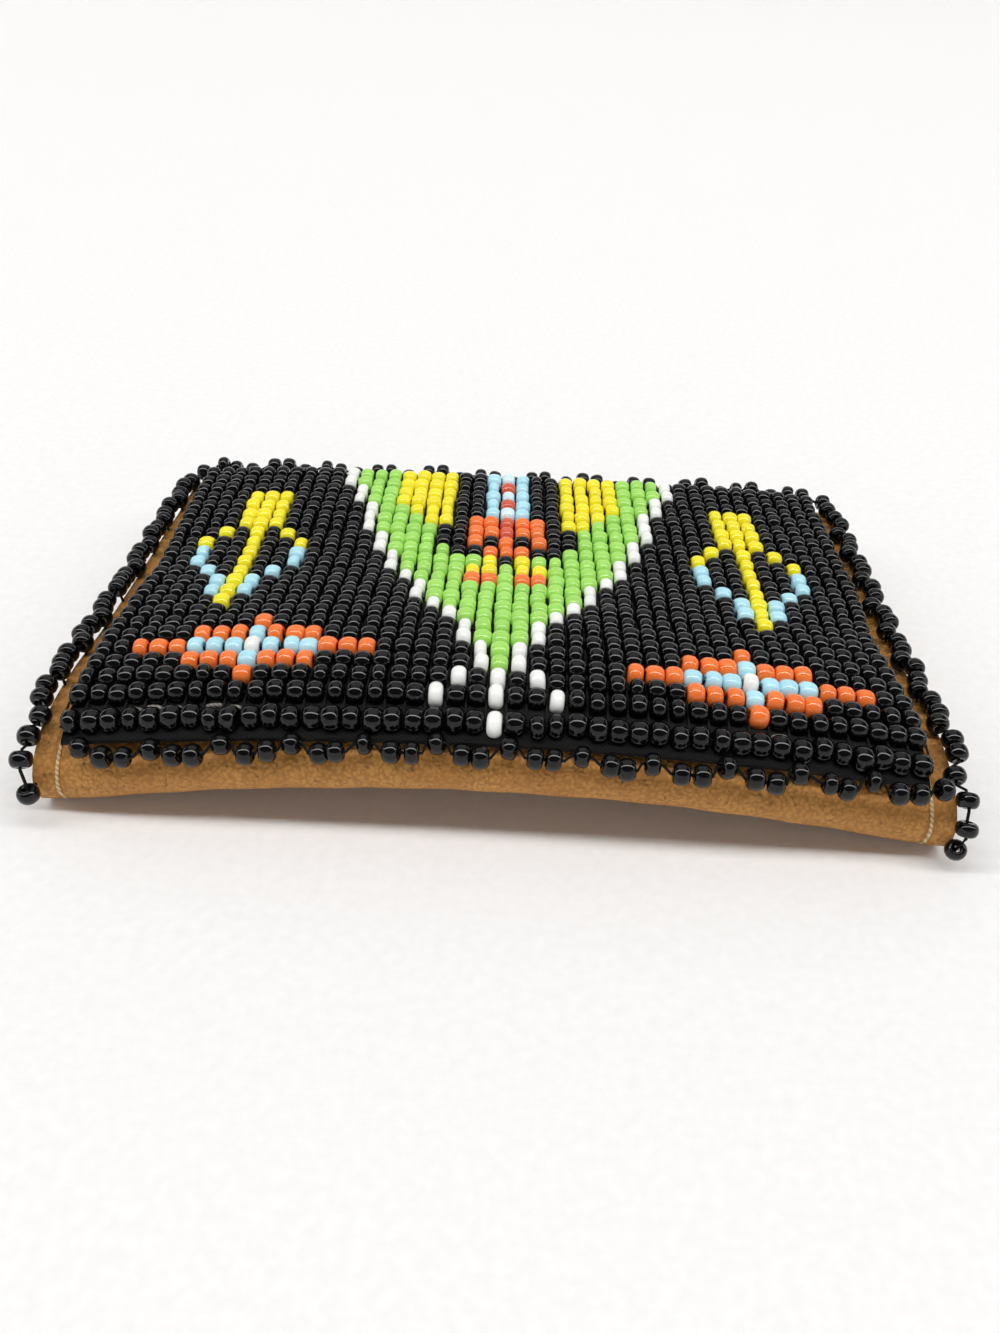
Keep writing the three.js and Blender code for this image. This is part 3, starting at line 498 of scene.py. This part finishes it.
def plate(outlines, thick, chamfer):
    """Points and faces of a flat plate with holes and rounded edges, from outlines in its own plane."""
    shape = bpy.data.curves.new("outline", "CURVE")
    shape.dimensions, shape.fill_mode = "2D", "BOTH"
    shape.extrude, shape.bevel_depth, shape.bevel_resolution = thick / 2 - chamfer, chamfer, 2
    shape.offset = -chamfer
    for outline in outlines:
        spline = shape.splines.new("POLY")
        spline.points.add(len(outline) - 1)
        for point, (u, v) in zip(spline.points, outline):
            point.co = (u, v, 0, 1)
        spline.use_cyclic_u = True
    holder = bpy.data.objects.new("outline", shape)
    bpy.context.collection.objects.link(holder)
    graph = bpy.context.evaluated_depsgraph_get()
    mesh = bpy.data.meshes.new_from_object(holder.evaluated_get(graph))
    points = np.array([v.co[:] for v in mesh.vertices])
    faces = [list(face.vertices) for face in mesh.polygons]
    bpy.data.objects.remove(holder)
    bpy.data.curves.remove(shape)
    bpy.data.meshes.remove(mesh)
    return points, faces


def rounded(x0, x1, y0, y1, radius):
    """A closed outline with rounded corners."""
    centers = [(x1 - radius, y1 - radius, 0), (x0 + radius, y1 - radius, 90),
               (x0 + radius, y0 + radius, 180), (x1 - radius, y0 + radius, 270)]
    return [(cx + radius * np.cos(a), cy + radius * np.sin(a))
            for cx, cy, begin in centers for a in np.radians(np.linspace(begin, begin + 90, 7))]


low, high = corners("zip_slider")
slider_x = (low[0] + high[0]) / 2
wing = rounded(-slider_half_length, slider_half_length, -slider_half, slider_half, slider_corner)
made = []
for face in (-1, 1):
    flat, flat_faces = plate([wing], plate_out - plate_in, metal_chamfer)
    flat_y = -flat[:, 2] + face * (plate_in + plate_out) / 2
    made.append((np.stack([flat[:, 0], flat_y, flat[:, 1]], -1), flat_faces))
    for lip in (-1, 1):
        bar, bar_faces = block((lip_half_length, (lip_out - lip_in) / 2, lip_half), lip_chamfer)
        made.append((bar + [0, face * (lip_in + lip_out) / 2, lip * (slider_half - lip_half)], bar_faces))
web, web_faces = block((web_half_length, lip_out, web_half), web_chamfer)
made.append((web + [web_x, 0, 0], web_faces))
arch = rounded(-bail_half, bail_half, bail_root, bail_top, bail_corner)
hole = rounded(-hole_half, hole_half, hole_root, hole_top, hole_corner)
bail, bail_faces = plate([arch, hole], bail_thick, bail_chamfer)
bail[:, 1] = np.maximum(bail[:, 1], bail_foot)
made.append((np.stack([bail[:, 0], bail[:, 1] + plate_out, -bail[:, 2]], -1), bail_faces))
points, faces = together(made)
points = points + [slider_x, chain_y, chain_z]
slider = add_piece("zip_slider_cast", points, faces, [nickel], "slider")
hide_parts("zip_slider")

low, high = corners("pull_tab")
bar_x, bar_y = high[0] - bar_inset, (low[1] + high[1]) / 2
tab_side = [(bar_inset, tab_half - tab_corner), (bar_inset - tab_corner, tab_half), (-5.2, tab_half),
            (-6.4, tab_half - tab_waist), (-9.0, tab_half - tab_waist), (-12.5, tab_half)]
tab_end = [(tab_half - tab_length + tab_half * np.cos(a), tab_half * np.sin(a))
           for a in np.radians(np.linspace(90, 270, 15))]
outline = tab_side + tab_end + [(u, -v) for u, v in reversed(tab_side)]
eye = rounded(-4.6, -bar_inset, -slot_half, slot_half, 0.25)
grip = rounded(-15.4, -9.6, -slot_half, slot_half, 0.79)
tab, tab_faces = plate([outline, eye, grip], tab_thick, metal_chamfer)
tab = np.stack([tab[:, 0] + bar_x, -tab[:, 2] + bar_y, tab[:, 1] + chain_z], -1)
pull = add_piece("pull_tab_stamped", tab, tab_faces, [nickel], "pull")
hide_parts("pull_tab")

# Beaded panel. Opaque glass seed beads are woven on a loom: warp threads lie between the columns and a weft
# runs through each row. The black ground carries a white-edged green triangle, two leaves and two flat stars.
bead_radius, bead_length, bead_hole = 1.125, 1.65, 0.42
column_pitch, row_pitch, last_gap = 1.95, 2.4, 0.8
columns, rows = 43, 23
panel_half = columns * column_pitch / 2
panel_gap, far_droop, near_droop = 0.4, 1.1, 2.6
dice = np.random.default_rng(11)


def crown_z(y):
    """Height of the leather along its middle, on over the fold."""
    drop = np.sqrt(1 - np.clip((fold_y - y) / fold_over, 0, 1) ** 2)
    return np.where(y >= fold_y, front_z(0, y), mix(nose_z(0), front_z(0, fold_y), drop))


def panel_z(x, y):
    """Height of the panel's underside, which droops a little towards its sides."""
    out = np.abs(x) / panel_half
    return crown_z(y) + panel_gap - mix(far_droop * out ** 4, near_droop * out ** 2, near(y))


row_y, row_edge = [], mouth_y - bead_radius + row_pitch / 2
for row in range(rows):
    step = row_pitch + (last_gap if row == rows - 1 else 0)
    fall = min(0, float(crown_z(row_edge - step) - crown_z(row_edge)))
    next_edge = row_edge - np.sqrt(step ** 2 - fall ** 2)
    row_y.append(mix(next_edge, row_edge, row_pitch / 2 / step))
    row_edge = next_edge

# The pattern counts columns out from the middle of each motif, and rows from the mouth. The triangle's border
# runs in from 11 columns out, and stays in each column for so many rows.
border_steps = [2, 2, 3, 2, 2, 1, 2, 1, 1, 2, 2, 3]
border = np.repeat(np.arange(11, -1, -1), border_steps)
leaf_columns = (-16, 15)
star_places = ((-13, 19), (13, 20))


def triangle_color(out, row):
    if 4 <= out <= 7 and row <= min(6, 11 - out):
        return "yellow"
    if (out == 4 and row in (7, 8)) or (out == 3 and row <= 9):
        return "black"
    if out == 0 and row <= 10:
        spine = ["pale blue", "red"] * 3 + ["red", "orange", "orange", "black"]
        return spine[row - 1]
    if out == 1 and row <= 9:
        return "light blue" if row <= 5 else "black" if row == 8 else "orange"
    if out == 2 and row <= 9:
        return "black" if row <= 5 or row == 9 else "orange"
    if out in (1, 2) and row <= 12:
        return "orange" if row == 12 else "green" if out == 2 and row == 10 else "yellow"
    return "green"


def leaf_color(out, row):
    if (out <= 1 and 4 <= row <= 7) or (out == 0 and 8 <= row <= 15) or (out, row) in ((2, 8), (3, 9)):
        return "yellow"
    return "light blue" if (out, row) in ((3, 10), (3, 11), (2, 12), (1, 13), (1, 14)) else None


def star_color(out, away):
    if away == 0 and out <= 6:
        return "white" if out == 0 else "light blue" if out <= 3 else "orange"
    if away == 1 and out <= 3:
        return "light blue" if out == 0 else "orange"
    return "orange" if away == 2 and out == 0 else None


def bead_color(column, row):
    out = abs(column)
    edge = border[row - 1]
    if out == edge or (out, row) in ((2, 21), (3, 22)):
        return "white"
    if out < edge:
        return triangle_color(out, row)
    motifs = [leaf_color(abs(column - middle), row) for middle in leaf_columns]
    motifs += [star_color(abs(column - middle), abs(row - at)) for middle, at in star_places]
    return next((color for color in motifs if color), "black")


# Opaque glass: drawn as a tube, chopped and tumbled hot, which rounds the ends and leaves a wet gloss. Each
# bead has its own tone, and the cane's faint streaks show in the lighter colours.
glass_colors = {"black": "#08080a", "green": "#a9e568", "white": "#fcfcf9", "yellow": "#feee26",
                "orange": "#fd7e38", "red": "#de6147", "light blue": "#b8ecfb", "pale blue": "#def5fc"}
darkest_share = 0.8
glass = {}
for name, code in glass_colors.items():
    glass[name], tree, shader = new_material(f"opaque {name} glass")
    place = add_node(tree, "ShaderNodeTexCoord").outputs["Object"]
    tone = add_node(tree, "ShaderNodeAttribute", attribute_name="tone")
    streak = add_node(tree, "ShaderNodeTexNoise", {"Vector": place, "Scale": grain(0.7), "Detail": 2})
    shade = add_node(tree, "ShaderNodeMath", {0: streak.outputs["Fac"], 1: 0.12, 2: tone.outputs["Fac"]},
                     operation="MULTIPLY_ADD")
    darkest = [darkest_share * c for c in linear(code)[:3]] + [1]
    tint = add_node(tree, "ShaderNodeMix", {"Factor": shade.outputs[0], "A": darkest, "B": linear(code)},
                    data_type="RGBA")
    tree.links.new(tint.outputs["Result"], shader.inputs["Base Color"])
    shader.inputs["Roughness"].default_value = 0.08
    shader.inputs["IOR"].default_value = 1.52
    shader.inputs["Specular IOR Level"].default_value = 0.35 if name == "black" else 0.5


def bead_shape(sides=16, end_roundness=0.92, wall_roundness=0.78):
    """Points and faces of one bead of unit length and radius round the x axis: a tube with rounded ends."""
    turn = np.radians(np.linspace(0, 180, 9))[:, None]
    axial = -0.5 * np.sign(np.cos(turn)) * np.abs(np.cos(turn)) ** end_roundness
    spread = mix(bead_hole / bead_radius, 1, np.sin(turn) ** wall_roundness)
    around = np.linspace(0, 2 * np.pi, sides, endpoint=False)
    points = np.stack([axial + 0 * around, spread * np.cos(around), spread * np.sin(around)], -1)
    index = np.arange(len(turn) * sides).reshape(len(turn), sides)
    after = np.roll(index, -1, 0)
    faces = np.stack([index, np.roll(index, -1, 1), np.roll(after, -1, 1), after], -1).reshape(-1, 4)
    return points.reshape(-1, 3), faces


# Beads as they are drawn: a little fatter than their seats, so that rows touch, and the white ones short
# and wide.
length_share, white_length, white_radius = 1.49, 1.5, 1.32
row_radius, last_row_radius = 1.25, 1.29
length_spread, shortest, longest = 0.09, 0.78, 1.06
radius_spread, thinnest, fattest = 0.03, 0.93, 1.06
darkest_tone, palest_tone = 0.55, 1.0
place_spread, last_row_unevenness = 0.05, 2.4
row_lean, last_row_lean = 0.05, 0.11


def add_beads(name, centers, axes, normals, colors, lean, radii):
    """One mesh of beads, each with its own size, lean and tone."""
    shape, shape_faces = bead_shape()
    count = len(centers)
    axes = unit(np.asarray(axes) + dice.normal(0, 1, (count, 3)) * np.broadcast_to(lean, count)[:, None])
    second = unit(np.cross(np.asarray(normals), axes))
    third = np.cross(axes, second)
    white = np.array(colors) == "white"
    length = np.where(white, white_length, length_share * radii)
    length = length * np.clip(1 + dice.normal(0, length_spread, count), shortest, longest)
    radius = np.where(white, white_radius, radii)
    radius = radius * np.clip(1 + dice.normal(0, radius_spread, count), thinnest, fattest)
    points = np.asarray(centers)[:, None] + axes[:, None] * (shape[None, :, :1] * length[:, None, None])
    points = points + second[:, None] * (shape[None, :, 1:2] * radius[:, None, None])
    points = points + third[:, None] * (shape[None, :, 2:] * radius[:, None, None])
    faces = (shape_faces[None] + len(shape) * np.arange(count)[:, None, None]).reshape(-1, 4)
    used = sorted(set(colors))
    finish = np.repeat([used.index(color) for color in colors], len(shape_faces))
    finishes = [glass[color] for color in used]
    made = add_piece(name, points.reshape(-1, 3), faces, finishes, "purse", finish)
    tones = np.repeat(dice.uniform(darkest_tone, palest_tone, count), len(shape))
    tone = made.data.attributes.new("tone", "FLOAT", "POINT")
    tone.data.foreach_set("value", tones.astype(np.float32))
    return made


# Uneven tension in the weaving draws the panel in: how far, at which y, and over what length.
left_pull, left_pull_y, left_pull_reach = 0.7, 4, 9
right_pull, right_pull_y, right_pull_reach = 1.1, -7, 8
corner_pull, corner_pull_y, corner_pull_reach = 0.45, 2, 24


def pulled(x, y):
    """Where a place on the panel moves as the sides and the far right corner are drawn in."""
    out = x / panel_half
    left = left_pull * np.clip(-out, 0, 1) ** 2 * np.exp(-((y - left_pull_y) / left_pull_reach) ** 2)
    right = right_pull * np.clip(out, 0, 1) ** 2 * np.exp(-((y - right_pull_y) / right_pull_reach) ** 2)
    corner = corner_pull * (1 + out) * np.clip((y - corner_pull_y) / corner_pull_reach, 0, 1)
    return x + left - right - corner


grid = np.meshgrid(np.arange(columns) - columns // 2, np.arange(rows))
grid_column, grid_row = [part.ravel() for part in grid]
last_row = grid_row == rows - 1
even_y = np.array(row_y)[grid_row]
bead_x = pulled(grid_column * column_pitch + dice.normal(0, place_spread, len(grid_column)), even_y)
unevenness = np.where(last_row, last_row_unevenness, 1)
bead_y = even_y + dice.normal(0, place_spread, len(grid_column)) * unevenness
bead_z = panel_z(bead_x, bead_y) + bead_radius + dice.normal(0, place_spread, len(grid_column))
slope_x = panel_z(bead_x + 0.5, bead_y) - panel_z(bead_x - 0.5, bead_y)
slope_y = panel_z(bead_x, bead_y + 0.5) - panel_z(bead_x, bead_y - 0.5)
bead_axis = unit(np.stack([np.ones_like(slope_x), 0 * slope_x, slope_x], -1))
bead_up = unit(np.stack([-slope_x, -slope_y, np.ones_like(slope_x)], -1))
bead_colors = np.array([bead_color(int(c), int(r) + 1) for c, r in zip(grid_column, grid_row)])
bead_centers = np.stack([bead_x, bead_y, bead_z], -1)
bead_lean = np.where(last_row, last_row_lean, row_lean)
bead_radii = np.where(last_row, last_row_radius, row_radius)
ground = bead_colors == "black"
black_beads = add_beads("black_panel_beads", bead_centers[ground], bead_axis[ground], bead_up[ground],
                        list(bead_colors[ground]), bead_lean[ground], bead_radii[ground])
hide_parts("beaded_panel")
add_beads("coloured_panel_beads", bead_centers[~ground], bead_axis[~ground], bead_up[~ground],
          list(bead_colors[~ground]), bead_lean[~ground], bead_radii[~ground])

# Bonded nylon: close threads with a slight sheen, drawn near-black as painted shade for the warp and weft in
# the shade of the beads and for the sheet under them. Its ply, and that of the other nylon threads, is drawn
# 0.52 mm apart, coarser than the real one, so that it shows.
shade_dark_nylon, tree, shader = new_material("bonded nylon thread, painted shade-dark")
place = add_node(tree, "ShaderNodeTexCoord").outputs["Object"]
ply = add_node(tree, "ShaderNodeTexWave", {"Vector": place, "Scale": ribs(0.52), "Distortion": 1.0},
               bands_direction="DIAGONAL")
# Painted shade: the near-black of this ramp, #0a0909 to #1a1817, stands in for shade.
dye = add_node(tree, "ShaderNodeValToRGB", {"Fac": ply.outputs["Fac"]})
dye.color_ramp.elements[0].color, dye.color_ramp.elements[1].color = linear("#0a0909"), linear("#1a1817")
bump = add_node(tree, "ShaderNodeBump",
                {"Height": ply.outputs["Fac"], "Strength": 0.4, "Distance": 0.00005})
tree.links.new(dye.outputs["Color"], shader.inputs["Base Color"])
tree.links.new(bump.outputs["Normal"], shader.inputs["Normal"])
shader.inputs["Roughness"].default_value = 0.75
shader.inputs["Specular IOR Level"].default_value = 0.25

# Undyed nylon: the pale ends of the weft that show where the last row stands off from the rest.
pale_nylon, tree, shader = new_material("undyed bonded nylon thread")
place = add_node(tree, "ShaderNodeTexCoord").outputs["Object"]
ply = add_node(tree, "ShaderNodeTexWave", {"Vector": place, "Scale": ribs(0.52), "Distortion": 1.0},
               bands_direction="DIAGONAL")
dye = add_node(tree, "ShaderNodeValToRGB", {"Fac": ply.outputs["Fac"]})
dye.color_ramp.elements[0].color, dye.color_ramp.elements[1].color = linear("#6a665f"), linear("#979389")
tree.links.new(dye.outputs["Color"], shader.inputs["Base Color"])
shader.inputs["Roughness"].default_value = 0.45

# Warp and weft threads, a sheet of painted shade under the beads, and six ends of the weft.
warp_radius, weft_radius, weft_overhang = 0.12, 0.2, 0.1
far_margin, warp_margin, shade_sheet_margin, shade_sheet_side_margin = 0.8, 0.5, 1.6, 0.2
shade_sheet_low, shade_sheet_high, shade_sheet_bulge = 0.4, 0.8, 0.05
end_columns = (-18, -17, -16, -14, -13, 14)
end_half, end_radius, end_seat, end_rise = 0.75, 0.26, 0.66, 0.25
strings = []
for k in range(columns + 1):
    y = np.linspace(row_y[0] + far_margin, row_y[-1] - warp_margin, 60)
    x = pulled(np.full_like(y, (k - columns / 2) * column_pitch), y)
    strings.append(tube(np.stack([x, y, panel_z(x, y) + bead_radius], -1), warp_radius, 5))
for y in row_y:
    x = pulled(np.linspace(-panel_half - weft_overhang, panel_half + weft_overhang, 90), y)
    strings.append(tube(np.stack([x, 0 * x + y, panel_z(x, y) + bead_radius], -1), weft_radius, 5))
# Painted shade: a near-black sheet just under the beads stands in for the shade between them.
shade_sheet_x, shade_sheet_y = np.meshgrid(np.linspace(-panel_half + shade_sheet_side_margin, panel_half - shade_sheet_side_margin, 61),
                           np.linspace(row_y[0] + far_margin, row_y[-1] - shade_sheet_margin, 61), indexing="ij")
shade_sheet_x = pulled(shade_sheet_x, shade_sheet_y)
shade_sheet_grid = np.stack([shade_sheet_x, shade_sheet_y, panel_z(shade_sheet_x, shade_sheet_y)], -1)
shade_sheet_points, shade_sheet_faces = shell(shade_sheet_grid + [0, 0, shade_sheet_high], shade_sheet_grid + [0, 0, shade_sheet_low], shade_sheet_bulge)[:2]
strings.append((shade_sheet_points, [list(face) for face in shade_sheet_faces]))
points, faces = together(strings)
add_piece("panel_threads_and_shade_sheet", points, faces, [shade_dark_nylon], "purse")
strings = []
between = (row_y[-1] + row_y[-2]) / 2
for column in end_columns:
    x = np.linspace(-end_half, end_half, 9)
    y = between + dice.uniform(-0.15, 0.25) + dice.uniform(-0.15, 0.15) * x
    x = x + column * column_pitch
    arch = np.sqrt(1 - np.linspace(-1, 1, 9) ** 2)
    strings.append(tube(np.stack([x, y, panel_z(x, y) + end_seat + end_rise * arch], -1), end_radius))
points, faces = together(strings)
add_piece("weft_ends", points, faces, [pale_nylon], "purse")

# Picot edging. Black beads on black thread run round all four sides: one bead is sewn to the edge, then two
# stand out from it in a small arch, over and over.
seat, picot_rise, arch_half_gap = bead_radius + 0.25, 1.6, 0.95
edging_spread, edging_lean, edging_step = 0.12, 0.12, 0.4
edging_thread_radius, straight_share = 0.16, 0.6

# Black bonded nylon: the same thread dyed black, nearly matt against the glass.
black_nylon, tree, shader = new_material("black bonded nylon thread")
place = add_node(tree, "ShaderNodeTexCoord").outputs["Object"]
ply = add_node(tree, "ShaderNodeTexWave", {"Vector": place, "Scale": ribs(0.52), "Distortion": 1.0},
               bands_direction="DIAGONAL")
dye = add_node(tree, "ShaderNodeValToRGB", {"Fac": ply.outputs["Fac"]})
dye.color_ramp.elements[0].color, dye.color_ramp.elements[1].color = linear("#080707"), linear("#1a1816")
tree.links.new(dye.outputs["Color"], shader.inputs["Base Color"])
shader.inputs["Roughness"].default_value = 0.7
shader.inputs["Specular IOR Level"].default_value = 0.15

# The front edging hangs round the fold, at an angle from its top, and sags most a little right of the middle.
fold_shift, base_angle, arch_angle, arch_stand = 1.5, 54, 60.5, 0.35
sag_angle, sag_x, sag_reach = 5, 16, 10
corner_forward, corner_up, right_up = 0.3, 0.9, 0.5


def on_fold(s, arch):
    """Centre of the bead at s along the fold, and the place on the leather that it is sewn to."""
    s = s + fold_shift
    sag = sag_angle * np.exp(-((s - sag_x) / sag_reach) ** 2)
    angle = np.radians((arch_angle if arch else base_angle) + sag)
    corner = (s / panel_half) ** 2
    height = front_z(s, fold_y) - nose_z(s)
    surface = np.array([s, fold_y - fold_over * np.sin(angle) - corner_forward * corner,
                        nose_z(s) + height * np.cos(angle) + corner_up * corner + right_up * s / panel_half])
    out = unit(np.array([0, -np.sin(angle) * height, np.cos(angle) * fold_over]))
    return surface + out * (seat + (arch_stand if arch else 0)), surface


# The back edging stands on the front's edge at the mouth, spread a little wider than the panel.
mouth_spread, middle_lean, end_lean, left_lean, lean_back = 1.05, 0.3, 0.35, 0.15, 0.5


def at_mouth(s, arch):
    """Centre of the bead at s along the mouth, and the place on the leather that it is sewn to."""
    s = s * mouth_spread
    out = s / panel_half
    z = front_z(s / taper(mouth_y), mouth_y) - hide
    lean = middle_lean + end_lean * out ** 2 - left_lean * out
    y = mouth_y + seat + (picot_rise if arch else 0) - lean_back * lean
    return np.array([s, y, z + seat + lean]), np.array([s, mouth_y, z + hide / 2])


# Each side edging starts low on the fold's end and soon settles on the leather's outer face.
steps_below, settling, settled_lean, table_gap, sewn_in = 6, 5, 100, 0.1, 0.3


def at_side(sign, start, first_lean, beside, inset, rise):
    """How to place beads along a sewn edge: first beside or before the leather, then on its outer face."""
    line = strip(np.array([sign * half_width]), hide / 2)[0][len(back_y) + under_steps - steps_below:]
    length = lengths_along(line)
    tangent = unit(np.gradient(line, axis=0))
    run = length[-1] - bead_length - start

    def place_bead(s, arch):
        at = s + run / 2 + start
        edge, along = [np.array([np.interp(at, length, course[:, k]) for k in range(3)])
                       for course in (line, tangent)]
        settled = 1 - np.exp(-max(at - start, 0) / settling)
        lean = np.radians(mix(first_lean, settled_lean, settled))
        center = edge + np.array([0, -along[2], along[1]]) * (seat + hide / 2) * np.sin(lean)
        center[0] += sign * (mix(beside, -inset, settled) + (rise if arch else 0))
        center[2] = max(center[2], bead_radius + table_gap)
        return center, edge - [sign * sewn_in, 0, 0]
    return place_bead, run


left_place, left_length = at_side(-1, start=1.4, first_lean=75, beside=-0.5, inset=0.0, rise=0.5)
right_place, right_length = at_side(1, start=0.2, first_lean=30, beside=0.4, inset=0.8, rise=0.7)
edgings = (("front_edging", 2 * panel_half, 6.8, 1.1, on_fold),
           ("back_edging", 2 * panel_half, 6.8, 1.14, at_mouth),
           ("left_edging", left_length, 5.6, 1.12, left_place),
           ("right_edging", right_length, 5.6, 1.12, right_place))
for name, length, wanted_repeat, radius, place_bead in edgings:
    repeats = int((length - bead_length) // wanted_repeat)
    repeat = (length - bead_length) / repeats
    beads = [((k - repeats / 2) * repeat, False) for k in range(repeats + 1)]
    beads += [((k + 0.5 - repeats / 2) * repeat + half, True)
              for k in range(repeats) for half in (-arch_half_gap, arch_half_gap)]
    beads.sort()
    centers = np.array([place_bead(s, arch)[0] for s, arch in beads])
    centers = centers + dice.normal(0, edging_spread, (len(beads), 3))
    before = np.array([place_bead(s - edging_step, arch)[0] for s, arch in beads])
    beyond = np.array([place_bead(s + edging_step, arch)[0] for s, arch in beads])
    axes = unit(beyond - before)
    up = np.tile([0.0, 0.3, 1.0], (len(beads), 1))
    edging = add_beads(name + "_beads", centers, axes, up, ["black"] * len(beads), edging_lean, radius)
    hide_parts(name)
    path = []
    for center, axis in zip(centers, axes):
        reach = axis * bead_length * straight_share
        path += [center - reach, center, center + reach]
    strings = [tube(np.array(path), edging_thread_radius)]
    for (s, arch), center in zip(beads, centers):
        if not arch:
            foot = place_bead(s, False)[1]
            strings.append(tube(np.linspace(center, foot, 4), edging_thread_radius, 5))
    points, faces = together(strings)
    add_piece(name + "_thread", points, faces, [black_nylon], "purse")

# Table. Pale matt card lies flat under the purse and curves up into a low wall all round, 3 m away. It is one
# profile turned about the upright axis, closed in the middle by a flat disc.
disc_radius, flat_radius, cove_radius, wall_height = 0.6, 2.0, 1.0, 1.35
cove_clear = 0.02

# Card: matt white, with a faint fleck of pulp.
card, tree, shader = new_material("matt white card")
place = add_node(tree, "ShaderNodeTexCoord").outputs["Object"]
fleck = add_node(tree, "ShaderNodeTexNoise", {"Vector": place, "Scale": grain(1.1), "Detail": 3})
dye = add_node(tree, "ShaderNodeValToRGB", {"Fac": fleck.outputs["Fac"]})
dye.color_ramp.elements[0].color, dye.color_ramp.elements[1].color = linear("#efeeec"), linear("#fbfafa")
tree.links.new(dye.outputs["Color"], shader.inputs["Base Color"])
shader.inputs["Roughness"].default_value = 0.9

rise = np.radians(np.linspace(0, 90, 13))
out = np.concatenate([[disc_radius, flat_radius - cove_clear], flat_radius + cove_radius * np.sin(rise),
                      [flat_radius + cove_radius]])
high = np.concatenate([[0, 0], cove_radius * (1 - np.cos(rise)), [wall_height]])
turn = np.linspace(0, 2 * np.pi, 72, endpoint=False)[:, None]
points = np.stack([out * np.cos(turn), out * np.sin(turn), high + 0 * turn], -1).reshape(-1, 3)
index = np.arange(len(points)).reshape(len(turn), len(out))
after = np.roll(index, -1, 0)
faces = np.stack([index[:, :-1], index[:, 1:], after[:, 1:], after[:, :-1]], -1).reshape(-1, 4)
mesh = bpy.data.meshes.new("table")
mesh.from_pydata(points, [], [list(map(int, face)) for face in faces] + [list(map(int, index[:, 0]))])
mesh.polygons.foreach_set("use_smooth", np.ones(len(mesh.polygons), dtype=bool))
mesh.materials.append(card)
table = bpy.data.objects.new("table", mesh)
bpy.context.collection.objects.link(table)

# Light. A dim room with a very wide soft lamp overhead, slightly towards the viewer, and a large dim lamp
# high behind the purse.
room_strength = 0.08
world = bpy.data.worlds.new("dim room")
bpy.context.scene.world = world
world.use_nodes = True
world.node_tree.nodes["Background"].inputs["Color"].default_value = linear("#ffffff")
world.node_tree.nodes["Background"].inputs["Strength"].default_value = room_strength


def add_lamp(name, position, size, power):
    """A rectangular lamp that faces the purse; its power is in watts."""
    lamp = bpy.data.lights.new(name, "AREA")
    lamp.shape, lamp.size, lamp.size_y, lamp.energy = "RECTANGLE", size[0], size[1], power
    made = bpy.data.objects.new(name, lamp)
    made.location = position
    made.rotation_euler = (-Vector(position)).to_track_quat("-Z", "Y").to_euler()
    bpy.context.collection.objects.link(made)


add_lamp("wide overhead lamp", position=(0, -0.4, 4), size=(34, 0.65), power=660)
add_lamp("large lamp behind", position=(0, 2.5, 4.3), size=(6, 5), power=57)

# Camera, where the photograph was taken from: 127 mm away, 37 degrees above the table, and turned a little.
# It looks at a place on the table just in front of the leather's middle, given in millimetres.
azimuth, elevation, roll = np.radians([0.92, 36.61, 2.36])
distance, aim = 0.12691, Vector((-0.17, -0.45, 0))
sensor_height, photo_height, focal_pixels = 36, 1333, 1050
away = Vector((np.sin(azimuth) * np.cos(elevation), -np.cos(azimuth) * np.cos(elevation), np.sin(elevation)))
right = Vector((0, 0, 1)).cross(away).normalized()
above = away.cross(right)
across = np.cos(roll) * right + np.sin(roll) * above
upward = np.cos(roll) * above - np.sin(roll) * right
camera = bpy.data.cameras.new("camera")
camera.sensor_fit, camera.sensor_height = "VERTICAL", sensor_height
camera.lens = sensor_height * focal_pixels / photo_height
camera.clip_start = 0.01
viewer = bpy.data.objects.new("camera", camera)
bpy.context.collection.objects.link(viewer)
viewer.matrix_world = Matrix((across, upward, away)).transposed().to_4x4()
viewer.location = (aim + Vector(to_part)) * 0.001 + away * distance
bpy.context.scene.camera = viewer
bpy.context.scene.view_settings.view_transform = "Standard"
